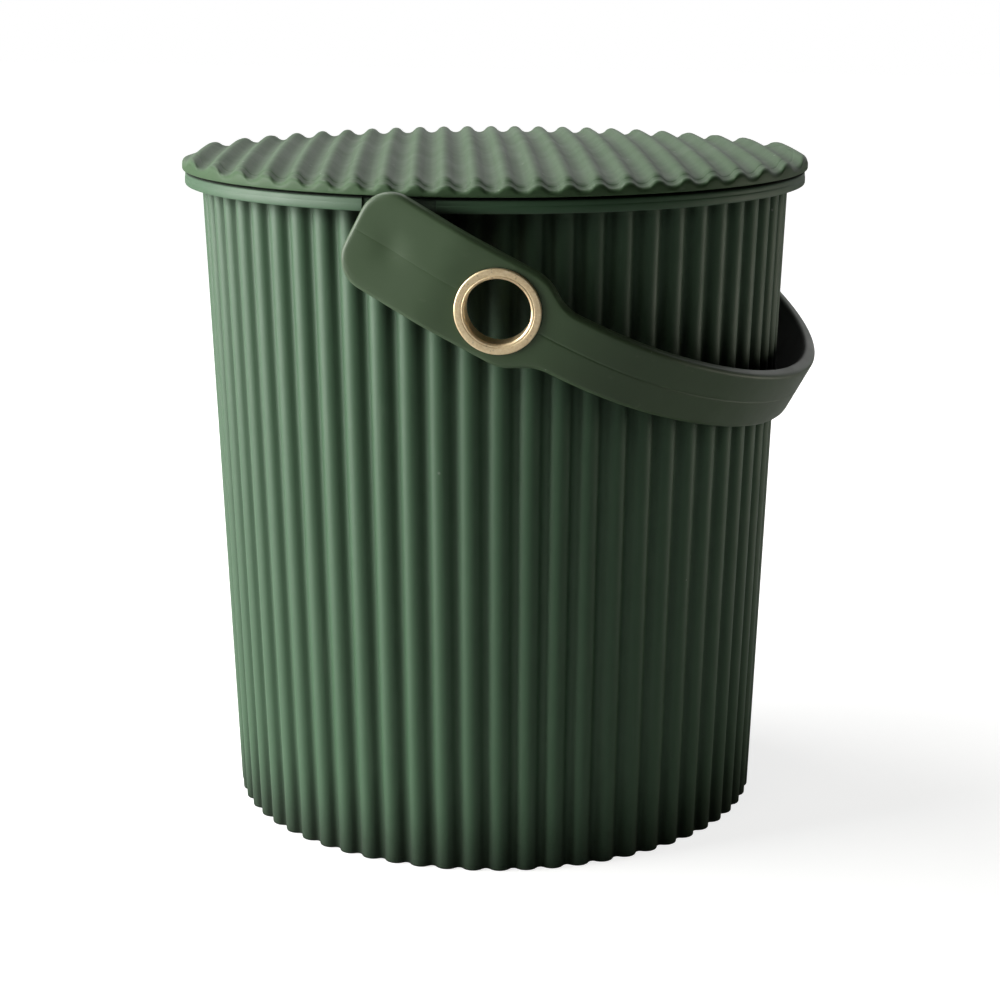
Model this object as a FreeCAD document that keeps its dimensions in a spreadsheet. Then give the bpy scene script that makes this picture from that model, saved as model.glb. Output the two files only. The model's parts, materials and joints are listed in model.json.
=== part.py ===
import FreeCAD, Part
import math
import os

import Sketcher

# Ribbed ten litre bucket with a corrugated lid and one swinging strap handle.
# Millimetres and degrees. Z is up, the base stands on Z = 0 and the pivots lie on the Y axis.
# At rest the handle hangs on the +X side.

os.makedirs("parts", exist_ok=True)

# Driving dimensions, one name for each, in the order of the pieces.

DIMENSIONS = (
    # Bucket wall and ribs
    ("rib_count", 64, "vertical ribs round the wall"),
    ("rib_depth", 2.7, "rib crest to rib valley under the flange"),
    ("wall", 2.2, "bucket wall thickness"),
    ("neck_radius", 124.9, "crest radius under the flange"),
    ("wall_taper", 9.3, "how much smaller the crest radius is at the base"),
    ("neck_height", 270.0, "height of the flange's underside"),
    ("floor_raise", 4.0, "underside of the floor above the ground"),
    ("floor_thick", 2.6, "floor thickness"),
    # Rim flange
    ("flange_overhang", 7.1, "flange edge beyond the rib crests under it"),
    ("flange_height", 5.4, "height of the flange"),
    ("flange_wall", 2.2, "thickness of the turned-over rim"),
    ("flange_bevel", 0.9, "bevel on the flange's top edge"),
    ("flange_clearance", 0.3, "flange hollow beyond the rib crests"),
    ("mouth_relief", 0.2, "mouth radius beyond the inside of the ribs"),
    # Handle lugs and studs
    ("pivot_drop", 12.2, "handle's pivot axis below the flange"),
    ("lug_width", 29.0, "width of each lug"),
    ("lug_gap", 0.6, "gap between a lug's back and the ribs under the flange"),
    ("lug_recess", 1.5, "a lug's flat face inside the flange's edge"),
    ("stud_radius", 6.0, "radius of a handle stud"),
    ("stud_length", 8.6, "stud length beyond the lug"),
    ("stud_tip", 1.0, "bevel at the stud's tip"),
    # Handle
    ("strap_thick", 6.0, "strap thickness"),
    ("strap_gap", 4.6, "a paddle's inner face beyond the flange's edge"),
    ("reach_beyond", 19.6, "grip's reach from the pivot, less the flange's radius"),
    ("rest_gap", 0.195, "grip's lower inner corner to the ribs at rest"),
    ("paddle_width", 39.2, "width of the paddles"),
    ("paddle_end", 15.8, "paddle length behind the pivot"),
    ("paddle_corner", 13.0, "corner radius of the paddle's end"),
    ("grip_width", 24.8, "width of the grip"),
    ("strap_bevel", 1.0, "bevel on the strap's long edges"),
    ("shoulder_start", 50.5, "pivot to where a paddle starts to narrow"),
    ("shoulder_length", 22.5, "length over which it narrows"),
    ("shoulder_round", 17.0, "radius of the shoulders' curves"),
    ("toe_angle", 10.5, "inward turn of the eyelet facet"),
    ("toe_bend", 60.0, "outer bend radius between paddle and facet"),
    ("facet_margin", 1.95, "flat facet beyond the eyelet's flange at each end"),
    ("eyelet_distance", 46.4, "pivot to the eyelet's centre along the strap"),
    ("bow_share", 0.554, "outer bend radius after the facet, as a share of the reach"),
    ("boss_radius", 10.5, "radius of the socket boss inside a paddle"),
    ("boss_gap", 0.8, "boss face to lug"),
    ("pivot_clearance", 0.08, "radial running clearance of stud in socket"),
    ("socket_end_gap", 0.6, "stud tip to the socket's end"),
    # Eyelets
    ("eyelet_bore", 12.4, "radius of the eyelet's bore"),
    ("eyelet_wall", 0.9, "barrel thickness"),
    ("eyelet_lip", 3.25, "flange beyond the barrel"),
    ("eyelet_flange_thick", 1.2, "thickness of the flange"),
    ("washer_thick", 1.0, "thickness of the ring behind the strap"),
    ("washer_lip", 2.6, "ring beyond the strap's hole"),
    ("eyelet_clearance", 0.1, "barrel to strap and ring, and flange to strap"),
    # Lid
    ("lid_overhang", 1.0, "lid edge beyond the flange's edge"),
    ("lid_gap", 0.8, "edge wall above the flange"),
    ("lid_seat_gap", 0.15, "seat ring above the flange"),
    ("lid_rise", 9.0, "top of the middle ridge above the flange"),
    ("lid_dome_radius", 2600.0, "radius of the arch that the ridges stand on"),
    ("lid_pitch", 11.5, "ridge spacing"),
    ("lid_ridge_depth", 3.2, "ridge crest to valley"),
    ("lid_thick", 2.0, "lid plate thickness"),
    ("lid_turn", 17.2, "ridge direction from the pivot axis"),
    ("plug_clearance", 0.8, "locating ring to the inside of the ribs"),
    ("plug_wall", 2.0, "thickness of the locating ring"),
    ("plug_depth", 9.0, "locating ring below the flange's top"),
    ("seat_ring_inset", 6.0, "flange edge to the seat ring"),
    # Drawing aid
    ("overrun", 3.0, "extra length of every cutting tool"),
)


class Size:
    """A number together with the sheet expression that gives it."""

    def __init__(self, value, text):
        self.value = float(value)
        self.text = text

    def __add__(self, other):
        return Size(self.value + other.value, "(%s + %s)" % (self.text, other.text))

    def __sub__(self, other):
        return Size(self.value - other.value, "(%s - %s)" % (self.text, other.text))

    def __truediv__(self, number):
        return Size(self.value / number, "(%s / %s)" % (self.text, number))

    def __mul__(self, other):
        if isinstance(other, Size):
            return Size(self.value * other.value, "(%s * %s)" % (self.text, other.text))
        return Size(self.value * other, "(%s * %s)" % (self.text, other))

    def __neg__(self):
        return Size(-self.value, "(0 - %s)" % self.text)


ZERO = Size(0, "0")

doc = FreeCAD.newDocument("ribbed_bucket")
sheet = doc.addObject("Spreadsheet::Sheet", "sizes")


def fill_sheet():
    """Writes each dimension in the sheet and returns them by name."""
    named = {}
    for row, (name, value, meaning) in enumerate(DIMENSIONS, start=1):
        sheet.set("A%d" % row, name)
        sheet.set("B%d" % row, str(value))
        sheet.set("C%d" % row, meaning)
        sheet.setAlias("B%d" % row, name)
        named[name] = Size(value, "sizes.%s" % name)
    doc.recompute()
    return named


size = fill_sheet()


def mm(name):
    """The sheet's number for one dimension."""
    return float(sheet.get(name))


# Worked-out sizes that more than one piece shares.

base_radius = size["neck_radius"] - size["wall_taper"]
flange_top = size["neck_height"] + size["flange_height"]
flange_radius = size["neck_radius"] + size["flange_overhang"]
pivot_height = size["neck_height"] - size["pivot_drop"]
lug_face = flange_radius - size["lug_recess"]
ledge_radius = size["neck_radius"] - size["rib_depth"] - size["wall"]
mouth_radius = size["neck_radius"] - size["wall"] + size["mouth_relief"]
strap_inner = flange_radius + size["strap_gap"]
strap_span = strap_inner + size["strap_thick"]
strap_reach = flange_radius + size["reach_beyond"]
bow_radius = strap_reach * size["bow_share"]
stud_end = lug_face + size["stud_length"]
boss_face = lug_face + size["boss_gap"]
barrel_radius = size["eyelet_bore"] + size["eyelet_wall"]
strap_hole = barrel_radius + size["eyelet_clearance"]
eyelet_flange = barrel_radius + size["eyelet_lip"]
washer_radius = strap_hole + size["washer_lip"]
facet_length = (eyelet_flange + size["facet_margin"]) * 2
lid_radius = flange_radius + size["lid_overhang"]
lid_crest_height = flange_top + size["lid_rise"]
lid_bottom = flange_top + size["lid_gap"]
plug_radius = ledge_radius - size["plug_clearance"]

SIDES = (("near", -1), ("far", 1))


# Sketch and solid helpers

def bind(target, path, amount):
    """Binds one property or constraint to the sheet."""
    target.setExpression(path, amount.text)


def dimension(sketch, kind, ends, amount):
    """Adds one constraint whose value comes from the sheet."""
    index = sketch.addConstraint(Sketcher.Constraint(kind, *ends, amount.value))
    bind(sketch, "Constraints[%d]" % index, amount)


def place_point(sketch, line, across, up):
    """Dimensions a line's first end from the origin, both ways."""
    for kind, axis, amount in (("DistanceX", -2, across), ("DistanceY", -1, up)):
        if amount.value == 0:
            sketch.addConstraint(Sketcher.Constraint("PointOnObject", line, 1, axis))
        elif amount.value > 0:
            dimension(sketch, kind, (-1, 1, line, 1), amount)
        else:
            dimension(sketch, kind, (line, 1, -1, 1), -amount)


def polygon(sketch, corners):
    """Draws a closed outline with every corner dimensioned from the origin."""
    first = sketch.GeometryCount
    points = [FreeCAD.Vector(across.value, up.value, 0) for across, up in corners]
    count = len(points)
    for i in range(count):
        sketch.addGeometry(Part.LineSegment(points[i], points[(i + 1) % count]))
    for i in range(count):
        sketch.addConstraint(
            Sketcher.Constraint("Coincident", first + i, 2, first + (i + 1) % count, 1)
        )
    for i, (across, up) in enumerate(corners):
        place_point(sketch, first + i, across, up)


def body(label):
    """An empty PartDesign body."""
    new = doc.addObject("PartDesign::Body", label)
    new.Label = label
    return new


def plane_of(owner, role):
    """One of a body's own origin planes or axes."""
    return [f for f in owner.Origin.OriginFeatures if f.Role == role][0]


def body_sketch(owner, name, role):
    """A sketch flat on one of the body's origin planes."""
    sketch = owner.newObject("Sketcher::SketchObject", name)
    sketch.AttachmentSupport = [(plane_of(owner, role), "")]
    sketch.MapMode = "FlatFace"
    return sketch


def free_sketch(name, placement):
    """A sketch for the Part tools, on a plane of its own."""
    sketch = doc.addObject("Sketcher::SketchObject", name)
    sketch.Placement = placement
    return sketch


UPRIGHT = FreeCAD.Placement(FreeCAD.Vector(), FreeCAD.Rotation(FreeCAD.Vector(1, 0, 0), 90))


def revolve(name, sketch, base, axis):
    """A full turn of a sketch round an axis, as a solid."""
    turned = doc.addObject("Part::Revolution", name)
    turned.Source = sketch
    turned.Base = base
    turned.Axis = axis
    turned.Angle = 360
    turned.Solid = True
    return turned


def combine(kind, name, shapes):
    """A fuse or common of several shapes."""
    joined = doc.addObject("Part::Multi%s" % kind, name)
    joined.Shapes = shapes
    return joined


def cut(name, base, tool):
    """One shape less another."""
    less = doc.addObject("Part::Cut", name)
    less.Base = base
    less.Tool = tool
    return less


def both_sides(name, source):
    """A copy of a shape on the other side of the XZ plane."""
    twin = doc.addObject("Part::Mirroring", name)
    twin.Source = source
    twin.Normal = FreeCAD.Vector(0, 1, 0)
    return twin


def feature(name, shape):
    """A shape made with Part's own functions."""
    holder = doc.addObject("Part::Feature", name)
    holder.Shape = shape
    return holder


# The wave that the bucket's ribs and the lid's ridges share. It runs round the origin.

def on_circle(radius, angle):
    """A point of the wave's plane, with angles counted from the up direction."""
    return FreeCAD.Vector(radius * math.sin(angle), radius * math.cos(angle), 0)


def wave_arcs(crest, depth, step, first, last):
    """One arc for each crest, from the valley before it to the valley after it."""
    valley = crest - depth
    arcs = []
    for number in range(first, last + 1):
        angle = number * step
        before = on_circle(valley, angle - step / 2)
        after = on_circle(valley, angle + step / 2)
        arcs.append(Part.Arc(before, on_circle(crest, angle), after).toShape())
    return arcs


def wave_folds(crest, depth, step, first, last):
    """The plain folds behind the same wave: straight flanks from valley to crest."""
    valley = crest - depth
    folds = []
    for number in range(first, last + 1):
        angle = number * step
        before = on_circle(valley, angle - step / 2)
        top = on_circle(crest, angle)
        after = on_circle(valley, angle + step / 2)
        folds.append(Part.makeLine(before, top))
        folds.append(Part.makeLine(top, after))
    return folds


# Bucket

def rib_ring(name, wave, height, skin):
    """The ribbed outline at one height as a closed wire, skin inside the outer crests.

    Every outline is the one under the flange made smaller, so the flanks stay flat.
    """
    rise = (mm("neck_radius") - base_radius.value) / mm("neck_height")
    share = (base_radius.value + rise * height) / mm("neck_radius")
    count = int(mm("rib_count"))
    crest = (mm("neck_radius") - skin) * share
    wire = Part.Wire(wave(crest, mm("rib_depth") * share, 2 * math.pi / count, 0, count - 1))
    wire.translate(FreeCAD.Vector(0, 0, height))
    return feature(name, wire)


def loft(name, rings):
    """A ruled solid through ribbed outlines."""
    skin = doc.addObject("Part::Loft", name)
    skin.Sections = rings
    skin.Solid = True
    skin.Ruled = True
    return skin


def bucket_rim():
    """The turned-over rim flange, open below, with the ledge that closes the ribs."""
    inner = ledge_radius
    hollow_in = size["neck_radius"] + size["flange_clearance"]
    hollow_out = flange_radius - size["flange_wall"]
    hollow_top = flange_top - size["flange_wall"]
    ledge = size["neck_height"] + size["flange_wall"]
    sketch = free_sketch("rim_outline", UPRIGHT)
    polygon(sketch, (
        (inner, size["neck_height"]),
        (hollow_in, size["neck_height"]),
        (hollow_in, hollow_top),
        (hollow_out, hollow_top),
        (hollow_out, size["neck_height"]),
        (flange_radius, size["neck_height"]),
        (flange_radius, flange_top - size["flange_bevel"]),
        (flange_radius - size["flange_bevel"], flange_top),
        (mouth_radius, flange_top),
        (mouth_radius, ledge),
        (inner, ledge),
    ))
    return revolve("bucket_rim", sketch, FreeCAD.Vector(), FreeCAD.Vector(0, 0, 1))


def lugs():
    """A lug that hangs from the flange on each side, round below the pivot."""
    back = size["neck_radius"] + size["lug_gap"]
    depth = lug_face - back
    bar = doc.addObject("Part::Box", "lug_bar")
    bind(bar, "Length", size["lug_width"])
    bind(bar, "Width", depth)
    bind(bar, "Height", flange_top - size["flange_bevel"] - pivot_height)
    bind(bar, "Placement.Base.x", -size["lug_width"] / 2)
    bind(bar, "Placement.Base.y", back)
    bind(bar, "Placement.Base.z", pivot_height)
    end = doc.addObject("Part::Cylinder", "lug_round")
    bind(end, "Radius", size["lug_width"] / 2)
    bind(end, "Height", depth)
    end.Placement.Rotation = FreeCAD.Rotation(FreeCAD.Vector(1, 0, 0), -90)
    bind(end, "Placement.Base.y", back)
    bind(end, "Placement.Base.z", pivot_height)
    lug = combine("Fuse", "lug", [bar, end])
    return [lug, both_sides("lug_near", lug)]


def lug_flat():
    """The tools that set a flat panel in the flange above each lug."""
    tool = doc.addObject("Part::Box", "lug_flat")
    bind(tool, "Length", size["lug_width"])
    bind(tool, "Width", size["overrun"])
    bind(tool, "Height", flange_top - pivot_height + size["overrun"])
    bind(tool, "Placement.Base.x", -size["lug_width"] / 2)
    bind(tool, "Placement.Base.y", lug_face)
    bind(tool, "Placement.Base.z", pivot_height)
    return [tool, both_sides("lug_flat_near", tool)]


def studs():
    """A handle stud on each side, turned round the pivot axis and beveled at its tip."""
    root = lug_face - size["wall"]
    sketch = free_sketch("stud_outline", FreeCAD.Placement())
    polygon(sketch, (
        (ZERO, root),
        (size["stud_radius"], root),
        (size["stud_radius"], stud_end - size["stud_tip"]),
        (size["stud_radius"] - size["stud_tip"], stud_end),
        (ZERO, stud_end),
    ))
    turned = revolve("stud", sketch, FreeCAD.Vector(), FreeCAD.Vector(0, 1, 0))
    bind(turned, "Placement.Base.z", pivot_height)
    return [turned, both_sides("stud_near", turned)]


def floor_recess():
    """The hollow under the floor, which leaves the foot ring standing."""
    tool = doc.addObject("Part::Cylinder", "floor_recess")
    bind(tool, "Radius", base_radius - size["rib_depth"] - size["wall"])
    bind(tool, "Height", size["floor_raise"] + size["overrun"])
    bind(tool, "Placement.Base.z", -size["overrun"])
    return tool


def make_bucket():
    """Ribbed wall, floor, rim, lugs and studs as one moulding."""
    outside = loft("wall_outside", [
        rib_ring("ring_base", wave_arcs, 0, 0),
        rib_ring("ring_neck", wave_arcs, mm("neck_height"), 0),
    ])
    cavity_top = mm("neck_height") + mm("flange_height")
    cavity = loft("wall_inside", [
        rib_ring("ring_floor", wave_folds, mm("floor_raise") + mm("floor_thick"), mm("wall")),
        rib_ring("ring_mouth", wave_folds, cavity_top, mm("wall")),
    ])
    blank = combine("Fuse", "bucket_blank", [outside, bucket_rim()] + lugs())
    paneled = cut("bucket_panels", blank, combine("Fuse", "lug_flats", lug_flat()))
    studded = combine("Fuse", "bucket_studs", [paneled] + studs())
    hollow = combine("Fuse", "bucket_hollow", [cavity, floor_recess()])
    shell = cut("bucket", studded, hollow)
    shell.Label = "bucket"
    return shell


# Lid

def ridge_block(name, wave, skin):
    """The solid below the ridges' wave, or below the folds skin lower."""
    arch = mm("lid_dome_radius")
    step = mm("lid_pitch") / arch
    reach = int(math.ceil(lid_radius.value / mm("lid_pitch")))
    outline = wave(arch - skin, mm("lid_ridge_depth"), step, -reach, reach)
    start = outline[0].firstVertex(True).Point
    end = outline[-1].lastVertex(True).Point
    floor = start.y - mm("plug_depth") - 2 * mm("flange_height") - mm("overrun")
    low_end = FreeCAD.Vector(end.x, floor, 0)
    low_start = FreeCAD.Vector(start.x, floor, 0)
    sides = [
        Part.makeLine(end, low_end),
        Part.makeLine(low_end, low_start),
        Part.makeLine(low_start, start),
    ]
    block = doc.addObject("Part::Extrusion", name)
    block.Base = feature(name + "_section", Part.Face(Part.Wire(outline + sides)))
    block.DirMode = "Custom"
    block.Dir = FreeCAD.Vector(0, 0, 1)
    bind(block, "LengthFwd", (lid_radius + size["overrun"]) * 2)
    block.Symmetric = True
    block.Solid = True
    level = FreeCAD.Rotation(FreeCAD.Vector(1, 0, 0), 90)
    turn = FreeCAD.Rotation(FreeCAD.Vector(0, 0, 1), mm("lid_turn"))
    centre = FreeCAD.Vector(0, 0, lid_crest_height.value - arch)
    block.Placement = FreeCAD.Placement(centre, turn.multiply(level))
    return block


def lid_envelope():
    """The turned outline that bounds the lid: edge, seat ring and locating ring."""
    above = lid_crest_height + size["overrun"]
    seat_out = flange_radius - size["seat_ring_inset"]
    seat_bottom = flange_top + size["lid_seat_gap"]
    plug_bottom = flange_top - size["plug_depth"]
    sketch = free_sketch("lid_outline", UPRIGHT)
    polygon(sketch, (
        (ZERO, plug_bottom),
        (plug_radius, plug_bottom),
        (plug_radius, seat_bottom),
        (seat_out, seat_bottom),
        (seat_out, lid_bottom),
        (lid_radius, lid_bottom),
        (lid_radius, above),
        (ZERO, above),
    ))
    return revolve("lid_envelope", sketch, FreeCAD.Vector(), FreeCAD.Vector(0, 0, 1))


def make_lid():
    """Corrugated, arched lid with a seat ring and a locating ring below."""
    blank = combine("Common", "lid_blank", [
        ridge_block("ridges_top", wave_arcs, 0),
        lid_envelope(),
    ])
    well = doc.addObject("Part::Cylinder", "lid_well")
    bind(well, "Radius", plug_radius - size["plug_wall"])
    bind(well, "Height", lid_crest_height + size["overrun"])
    under = ridge_block("ridges_under", wave_folds, mm("lid_thick"))
    shell = cut("lid", blank, combine("Common", "lid_hollow", [under, well]))
    shell.Label = "lid"
    return shell


# Handle, drawn in its own frame: X from the pivot to the grip, Y along the pivot axis,
# Z across the strap.

def rest_angle():
    """Angle below level at which the grip's lower inner corner comes to rest by the ribs."""
    slope = mm("wall_taper") / mm("neck_height")
    inner = strap_reach.value - mm("strap_thick")
    half = mm("grip_width") / 2
    level = inner + slope * half
    sunk = half - slope * inner
    wall = mm("neck_radius") - slope * mm("pivot_drop") + mm("rest_gap")
    return math.degrees(math.acos(wall / math.hypot(level, sunk)) - math.atan2(sunk, level))


def handle_placement():
    """The handle hanging at rest."""
    return FreeCAD.Placement(
        FreeCAD.Vector(0, 0, pivot_height.value),
        FreeCAD.Rotation(FreeCAD.Vector(0, 1, 0), rest_angle()),
    )


def strap_line():
    """Centres, radii and joints of the strap's outer face, from pivot to grip."""
    toe = math.radians(mm("toe_angle"))
    bend = mm("toe_bend")
    along = FreeCAD.Vector(math.cos(toe), -math.sin(toe), 0)
    outward = FreeCAD.Vector(math.sin(toe), math.cos(toe), 0)
    bend_start = mm("eyelet_distance") - facet_length.value / 2 - bend * toe
    bend_centre = FreeCAD.Vector(bend_start, strap_span.value - bend, 0)
    facet_start = bend_centre + outward * bend
    facet_end = facet_start + along * facet_length.value
    bow = bow_radius.value
    bow_centre = facet_end - outward * bow
    reach = strap_reach.value - bow_centre.x
    grip = (reach ** 2 + bow_centre.y ** 2 - bow ** 2) / (2 * (reach - bow))
    grip_centre = FreeCAD.Vector(strap_reach.value - grip, 0, 0)
    toward = (bow_centre - grip_centre).normalize()
    return {
        "toe": toe,
        "outward": outward,
        "bend_start": bend_start,
        "bend_centre": bend_centre,
        "facet_start": facet_start,
        "facet_end": facet_end,
        "facet_middle": (facet_start + facet_end) / 2,
        "bow_centre": bow_centre,
        "grip_centre": grip_centre,
        "grip": grip,
        "bow_angle": math.atan2(toward.y, toward.x),
    }


def draw_strap_face(sketch, line, depth):
    """One face of the far half of the strap, seen from above: lines and tangent arcs."""
    up = FreeCAD.Vector(0, 0, 1)
    quarter = math.pi / 2
    spots = (
        (line["bend_centre"], mm("toe_bend"), quarter - line["toe"], quarter),
        (line["bow_centre"], bow_radius.value, line["bow_angle"], quarter - line["toe"]),
        (line["grip_centre"], line["grip"], 0, line["bow_angle"]),
    )
    bend, bow, grip = [
        Part.ArcOfCircle(Part.Circle(centre, up, radius - depth), low, high)
        for centre, radius, low, high in spots
    ]
    start = FreeCAD.Vector(-mm("paddle_end"), strap_span.value - depth, 0)
    paddle = Part.LineSegment(start, bend.EndPoint)
    facet = Part.LineSegment(bend.StartPoint, bow.EndPoint)
    drawn = [sketch.addGeometry(shape) for shape in (paddle, bend, facet, bow, grip)]
    paddle, bend, facet, bow, grip = drawn
    sketch.addConstraint(Sketcher.Constraint("Horizontal", paddle))
    sketch.addConstraint(Sketcher.Constraint("Tangent", paddle, 2, bend, 2))
    sketch.addConstraint(Sketcher.Constraint("Tangent", bend, 1, facet, 1))
    sketch.addConstraint(Sketcher.Constraint("Tangent", facet, 2, bow, 2))
    sketch.addConstraint(Sketcher.Constraint("Tangent", bow, 1, grip, 2))
    return drawn


def draw_strap(sketch, line):
    """The far half of the strap seen from above, its two faces joined at both ends."""
    thick = mm("strap_thick")
    outer = draw_strap_face(sketch, line, 0)
    inner = draw_strap_face(sketch, line, thick)
    end = -mm("paddle_end")
    tail = sketch.addGeometry(Part.LineSegment(
        FreeCAD.Vector(end, strap_span.value, 0), FreeCAD.Vector(end, strap_span.value - thick, 0)
    ))
    nose = sketch.addGeometry(Part.LineSegment(
        FreeCAD.Vector(strap_reach.value, 0, 0), FreeCAD.Vector(strap_reach.value - thick, 0, 0)
    ))
    for end_point, face in ((1, outer), (2, inner)):
        sketch.addConstraint(Sketcher.Constraint("Coincident", face[0], 1, tail, end_point))
        sketch.addConstraint(Sketcher.Constraint("Coincident", face[4], 1, nose, end_point))
    for arc in (1, 3, 4):
        sketch.addConstraint(Sketcher.Constraint("Coincident", outer[arc], 3, inner[arc], 3))
    sketch.addConstraint(Sketcher.Constraint("PointOnObject", outer[4], 3, -1))
    sketch.addConstraint(Sketcher.Constraint("Vertical", tail))
    sketch.addConstraint(Sketcher.Constraint("Horizontal", nose))
    turn = Size(math.pi / 180, "(pi / 180)")
    bend_start = (
        size["eyelet_distance"] - facet_length / 2
        - size["toe_bend"] * size["toe_angle"] * turn
    )
    dimension(sketch, "DistanceX", (tail, 1, -1, 1), size["paddle_end"])
    dimension(sketch, "DistanceY", (-1, 1, tail, 1), strap_span)
    dimension(sketch, "DistanceX", (-1, 1, outer[0], 2), bend_start)
    dimension(sketch, "Distance", (tail,), size["strap_thick"])
    dimension(sketch, "Radius", (outer[1],), size["toe_bend"])
    dimension(sketch, "Distance", (outer[2],), facet_length)
    dimension(sketch, "Radius", (outer[3],), bow_radius)
    dimension(sketch, "DistanceX", (-1, 1, nose, 1), strap_reach)
    sketch.addConstraint(Sketcher.Constraint("PointOnObject", nose, 1, -1))
    dimension(sketch, "Distance", (nose,), size["strap_thick"])
    index = sketch.addConstraint(Sketcher.Constraint("Angle", outer[1], line["toe"]))
    sketch.setExpression("Constraints[%d]" % index, "sizes.toe_angle * 1 deg")


def rounded_outline(sketch, corners):
    """A closed outline of lines with rounded corners, each corner point dimensioned.

    A corner is its place across and up and its round, or None for a sharp one.
    """
    points = [FreeCAD.Vector(across.value, up.value, 0) for across, up, round_ in corners]
    count = len(points)
    cuts = []
    for i, (across, up, round_) in enumerate(corners):
        before = (points[i - 1] - points[i]).normalize()
        after = (points[(i + 1) % count] - points[i]).normalize()
        if round_ is None:
            cuts.append((points[i], points[i], None))
            continue
        half = before.getAngle(after) / 2
        reach = round_.value / math.tan(half)
        centre = points[i] + (before + after).normalize() * (round_.value / math.sin(half))
        cuts.append((points[i] + before * reach, points[i] + after * reach, centre))
    lines = [
        sketch.addGeometry(Part.LineSegment(cuts[i][1], cuts[(i + 1) % count][0]))
        for i in range(count)
    ]
    for i, (across, up, round_) in enumerate(corners):
        arriving, leaving = lines[i - 1], lines[i]
        if round_ is None:
            sketch.addConstraint(Sketcher.Constraint("Coincident", arriving, 2, leaving, 1))
            place_point(sketch, leaving, across, up)
            continue
        first, last, centre = cuts[i]
        middle = centre + (points[i] - centre).normalize() * round_.value
        turns_left = (first - centre).cross(last - centre).z > 0
        ends = (first, last) if turns_left else (last, first)
        at_first, at_last = (1, 2) if turns_left else (2, 1)
        drawn = sketch.addGeometry(Part.Arc(ends[0], middle, ends[1]))
        sketch.addConstraint(Sketcher.Constraint("Tangent", arriving, 2, drawn, at_first))
        sketch.addConstraint(Sketcher.Constraint("Tangent", drawn, at_last, leaving, 1))
        dimension(sketch, "Radius", (drawn,), round_)
        corner = sketch.addGeometry(Part.Point(points[i]), True)
        place_point(sketch, corner, across, up)
        sketch.addConstraint(Sketcher.Constraint("PointOnObject", corner, 1, arriving))
        sketch.addConstraint(Sketcher.Constraint("PointOnObject", corner, 1, leaving))


def strap_side(sketch):
    """The strap seen along the pivot axis: paddle, shoulders and grip, inside a frame.

    What lies between the frame and the outline is cut away.
    """
    half_paddle = size["paddle_width"] / 2
    half_grip = size["grip_width"] / 2
    slope = size["shoulder_length"] / 4
    first = size["shoulder_start"] + slope
    last = size["shoulder_start"] + size["shoulder_length"] - slope
    bend = size["shoulder_round"]
    beyond = strap_reach + size["overrun"]
    frame_end = beyond + size["overrun"]
    frame_start = size["paddle_end"] + size["overrun"]
    frame_half = half_paddle + size["overrun"]
    corner = size["paddle_corner"]
    rounded_outline(sketch, (
        (-size["paddle_end"], half_paddle, corner),
        (first, half_paddle, bend),
        (last, half_grip, bend),
        (beyond, half_grip, None),
        (beyond, -half_grip, None),
        (last, -half_grip, bend),
        (first, -half_paddle, bend),
        (-size["paddle_end"], -half_paddle, corner),
    ))
    polygon(sketch, (
        (-frame_start, frame_half),
        (frame_end, frame_half),
        (frame_end, -frame_half),
        (-frame_start, -frame_half),
    ))


def sharp_edges(shape):
    """Names of the edges where two faces meet at a clear angle."""
    names = []
    for number, edge in enumerate(shape.Edges, start=1):
        faces = shape.ancestorsOfType(edge, Part.Face)
        if len(faces) != 2:
            continue
        middle = edge.valueAt((edge.FirstParameter + edge.LastParameter) / 2)
        normals = [face.normalAt(*face.Surface.parameter(middle)) for face in faces]
        if abs(normals[0].dot(normals[1])) < math.cos(math.pi / 6):
            names.append("Edge%d" % number)
    return names


def pad(owner, name, sketch, amount):
    """Material on both sides of a sketch."""
    new = owner.newObject("PartDesign::Pad", name)
    new.Profile = sketch
    new.SideType = "Symmetric"
    bind(new, "Length", amount)
    return new


def mirrored(owner, name, original):
    """The same feature on the other side of the body's XZ plane."""
    new = owner.newObject("PartDesign::Mirrored", name)
    new.Originals = [original]
    new.MirrorPlane = (plane_of(owner, "XZ_Plane"), [""])
    owner.Tip = new
    return new


def turned_feature(owner, kind, name, sketch, role):
    """A full turn of a body's sketch round one of its origin axes."""
    new = owner.newObject("PartDesign::" + kind, name)
    new.Profile = sketch
    new.ReferenceAxis = (plane_of(owner, role), [""])
    new.Angle = 360
    return new


def add_sockets(handle):
    """A boss inside each paddle, with a blind bore for the stud."""
    bore = size["stud_radius"] + size["pivot_clearance"]
    bottom = stud_end + size["socket_end_gap"]
    boss = body_sketch(handle, "boss_outline", "XY_Plane")
    polygon(boss, (
        (ZERO, boss_face),
        (size["boss_radius"], boss_face),
        (size["boss_radius"], strap_inner + size["overrun"] / 2),
        (ZERO, strap_inner + size["overrun"] / 2),
    ))
    bosses = turned_feature(handle, "Revolution", "socket_boss", boss, "Y_Axis")
    mirrored(handle, "socket_bosses", bosses)
    socket = body_sketch(handle, "socket_outline", "XY_Plane")
    polygon(socket, (
        (ZERO, boss_face - size["overrun"]),
        (bore, boss_face - size["overrun"]),
        (bore, bottom),
        (ZERO, bottom),
    ))
    bores = turned_feature(handle, "Groove", "socket_bore", socket, "Y_Axis")
    mirrored(handle, "socket_bores", bores)


def eyelet_place(line, side):
    """The middle of an arm's outer facet, with Z pointing out of it."""
    middle = line["facet_middle"]
    outward = line["outward"]
    spot = FreeCAD.Vector(middle.x, middle.y * side, 0)
    facing = FreeCAD.Vector(outward.x, outward.y * side, 0)
    return FreeCAD.Placement(spot, FreeCAD.Rotation(FreeCAD.Vector(0, 0, 1), facing))


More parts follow.
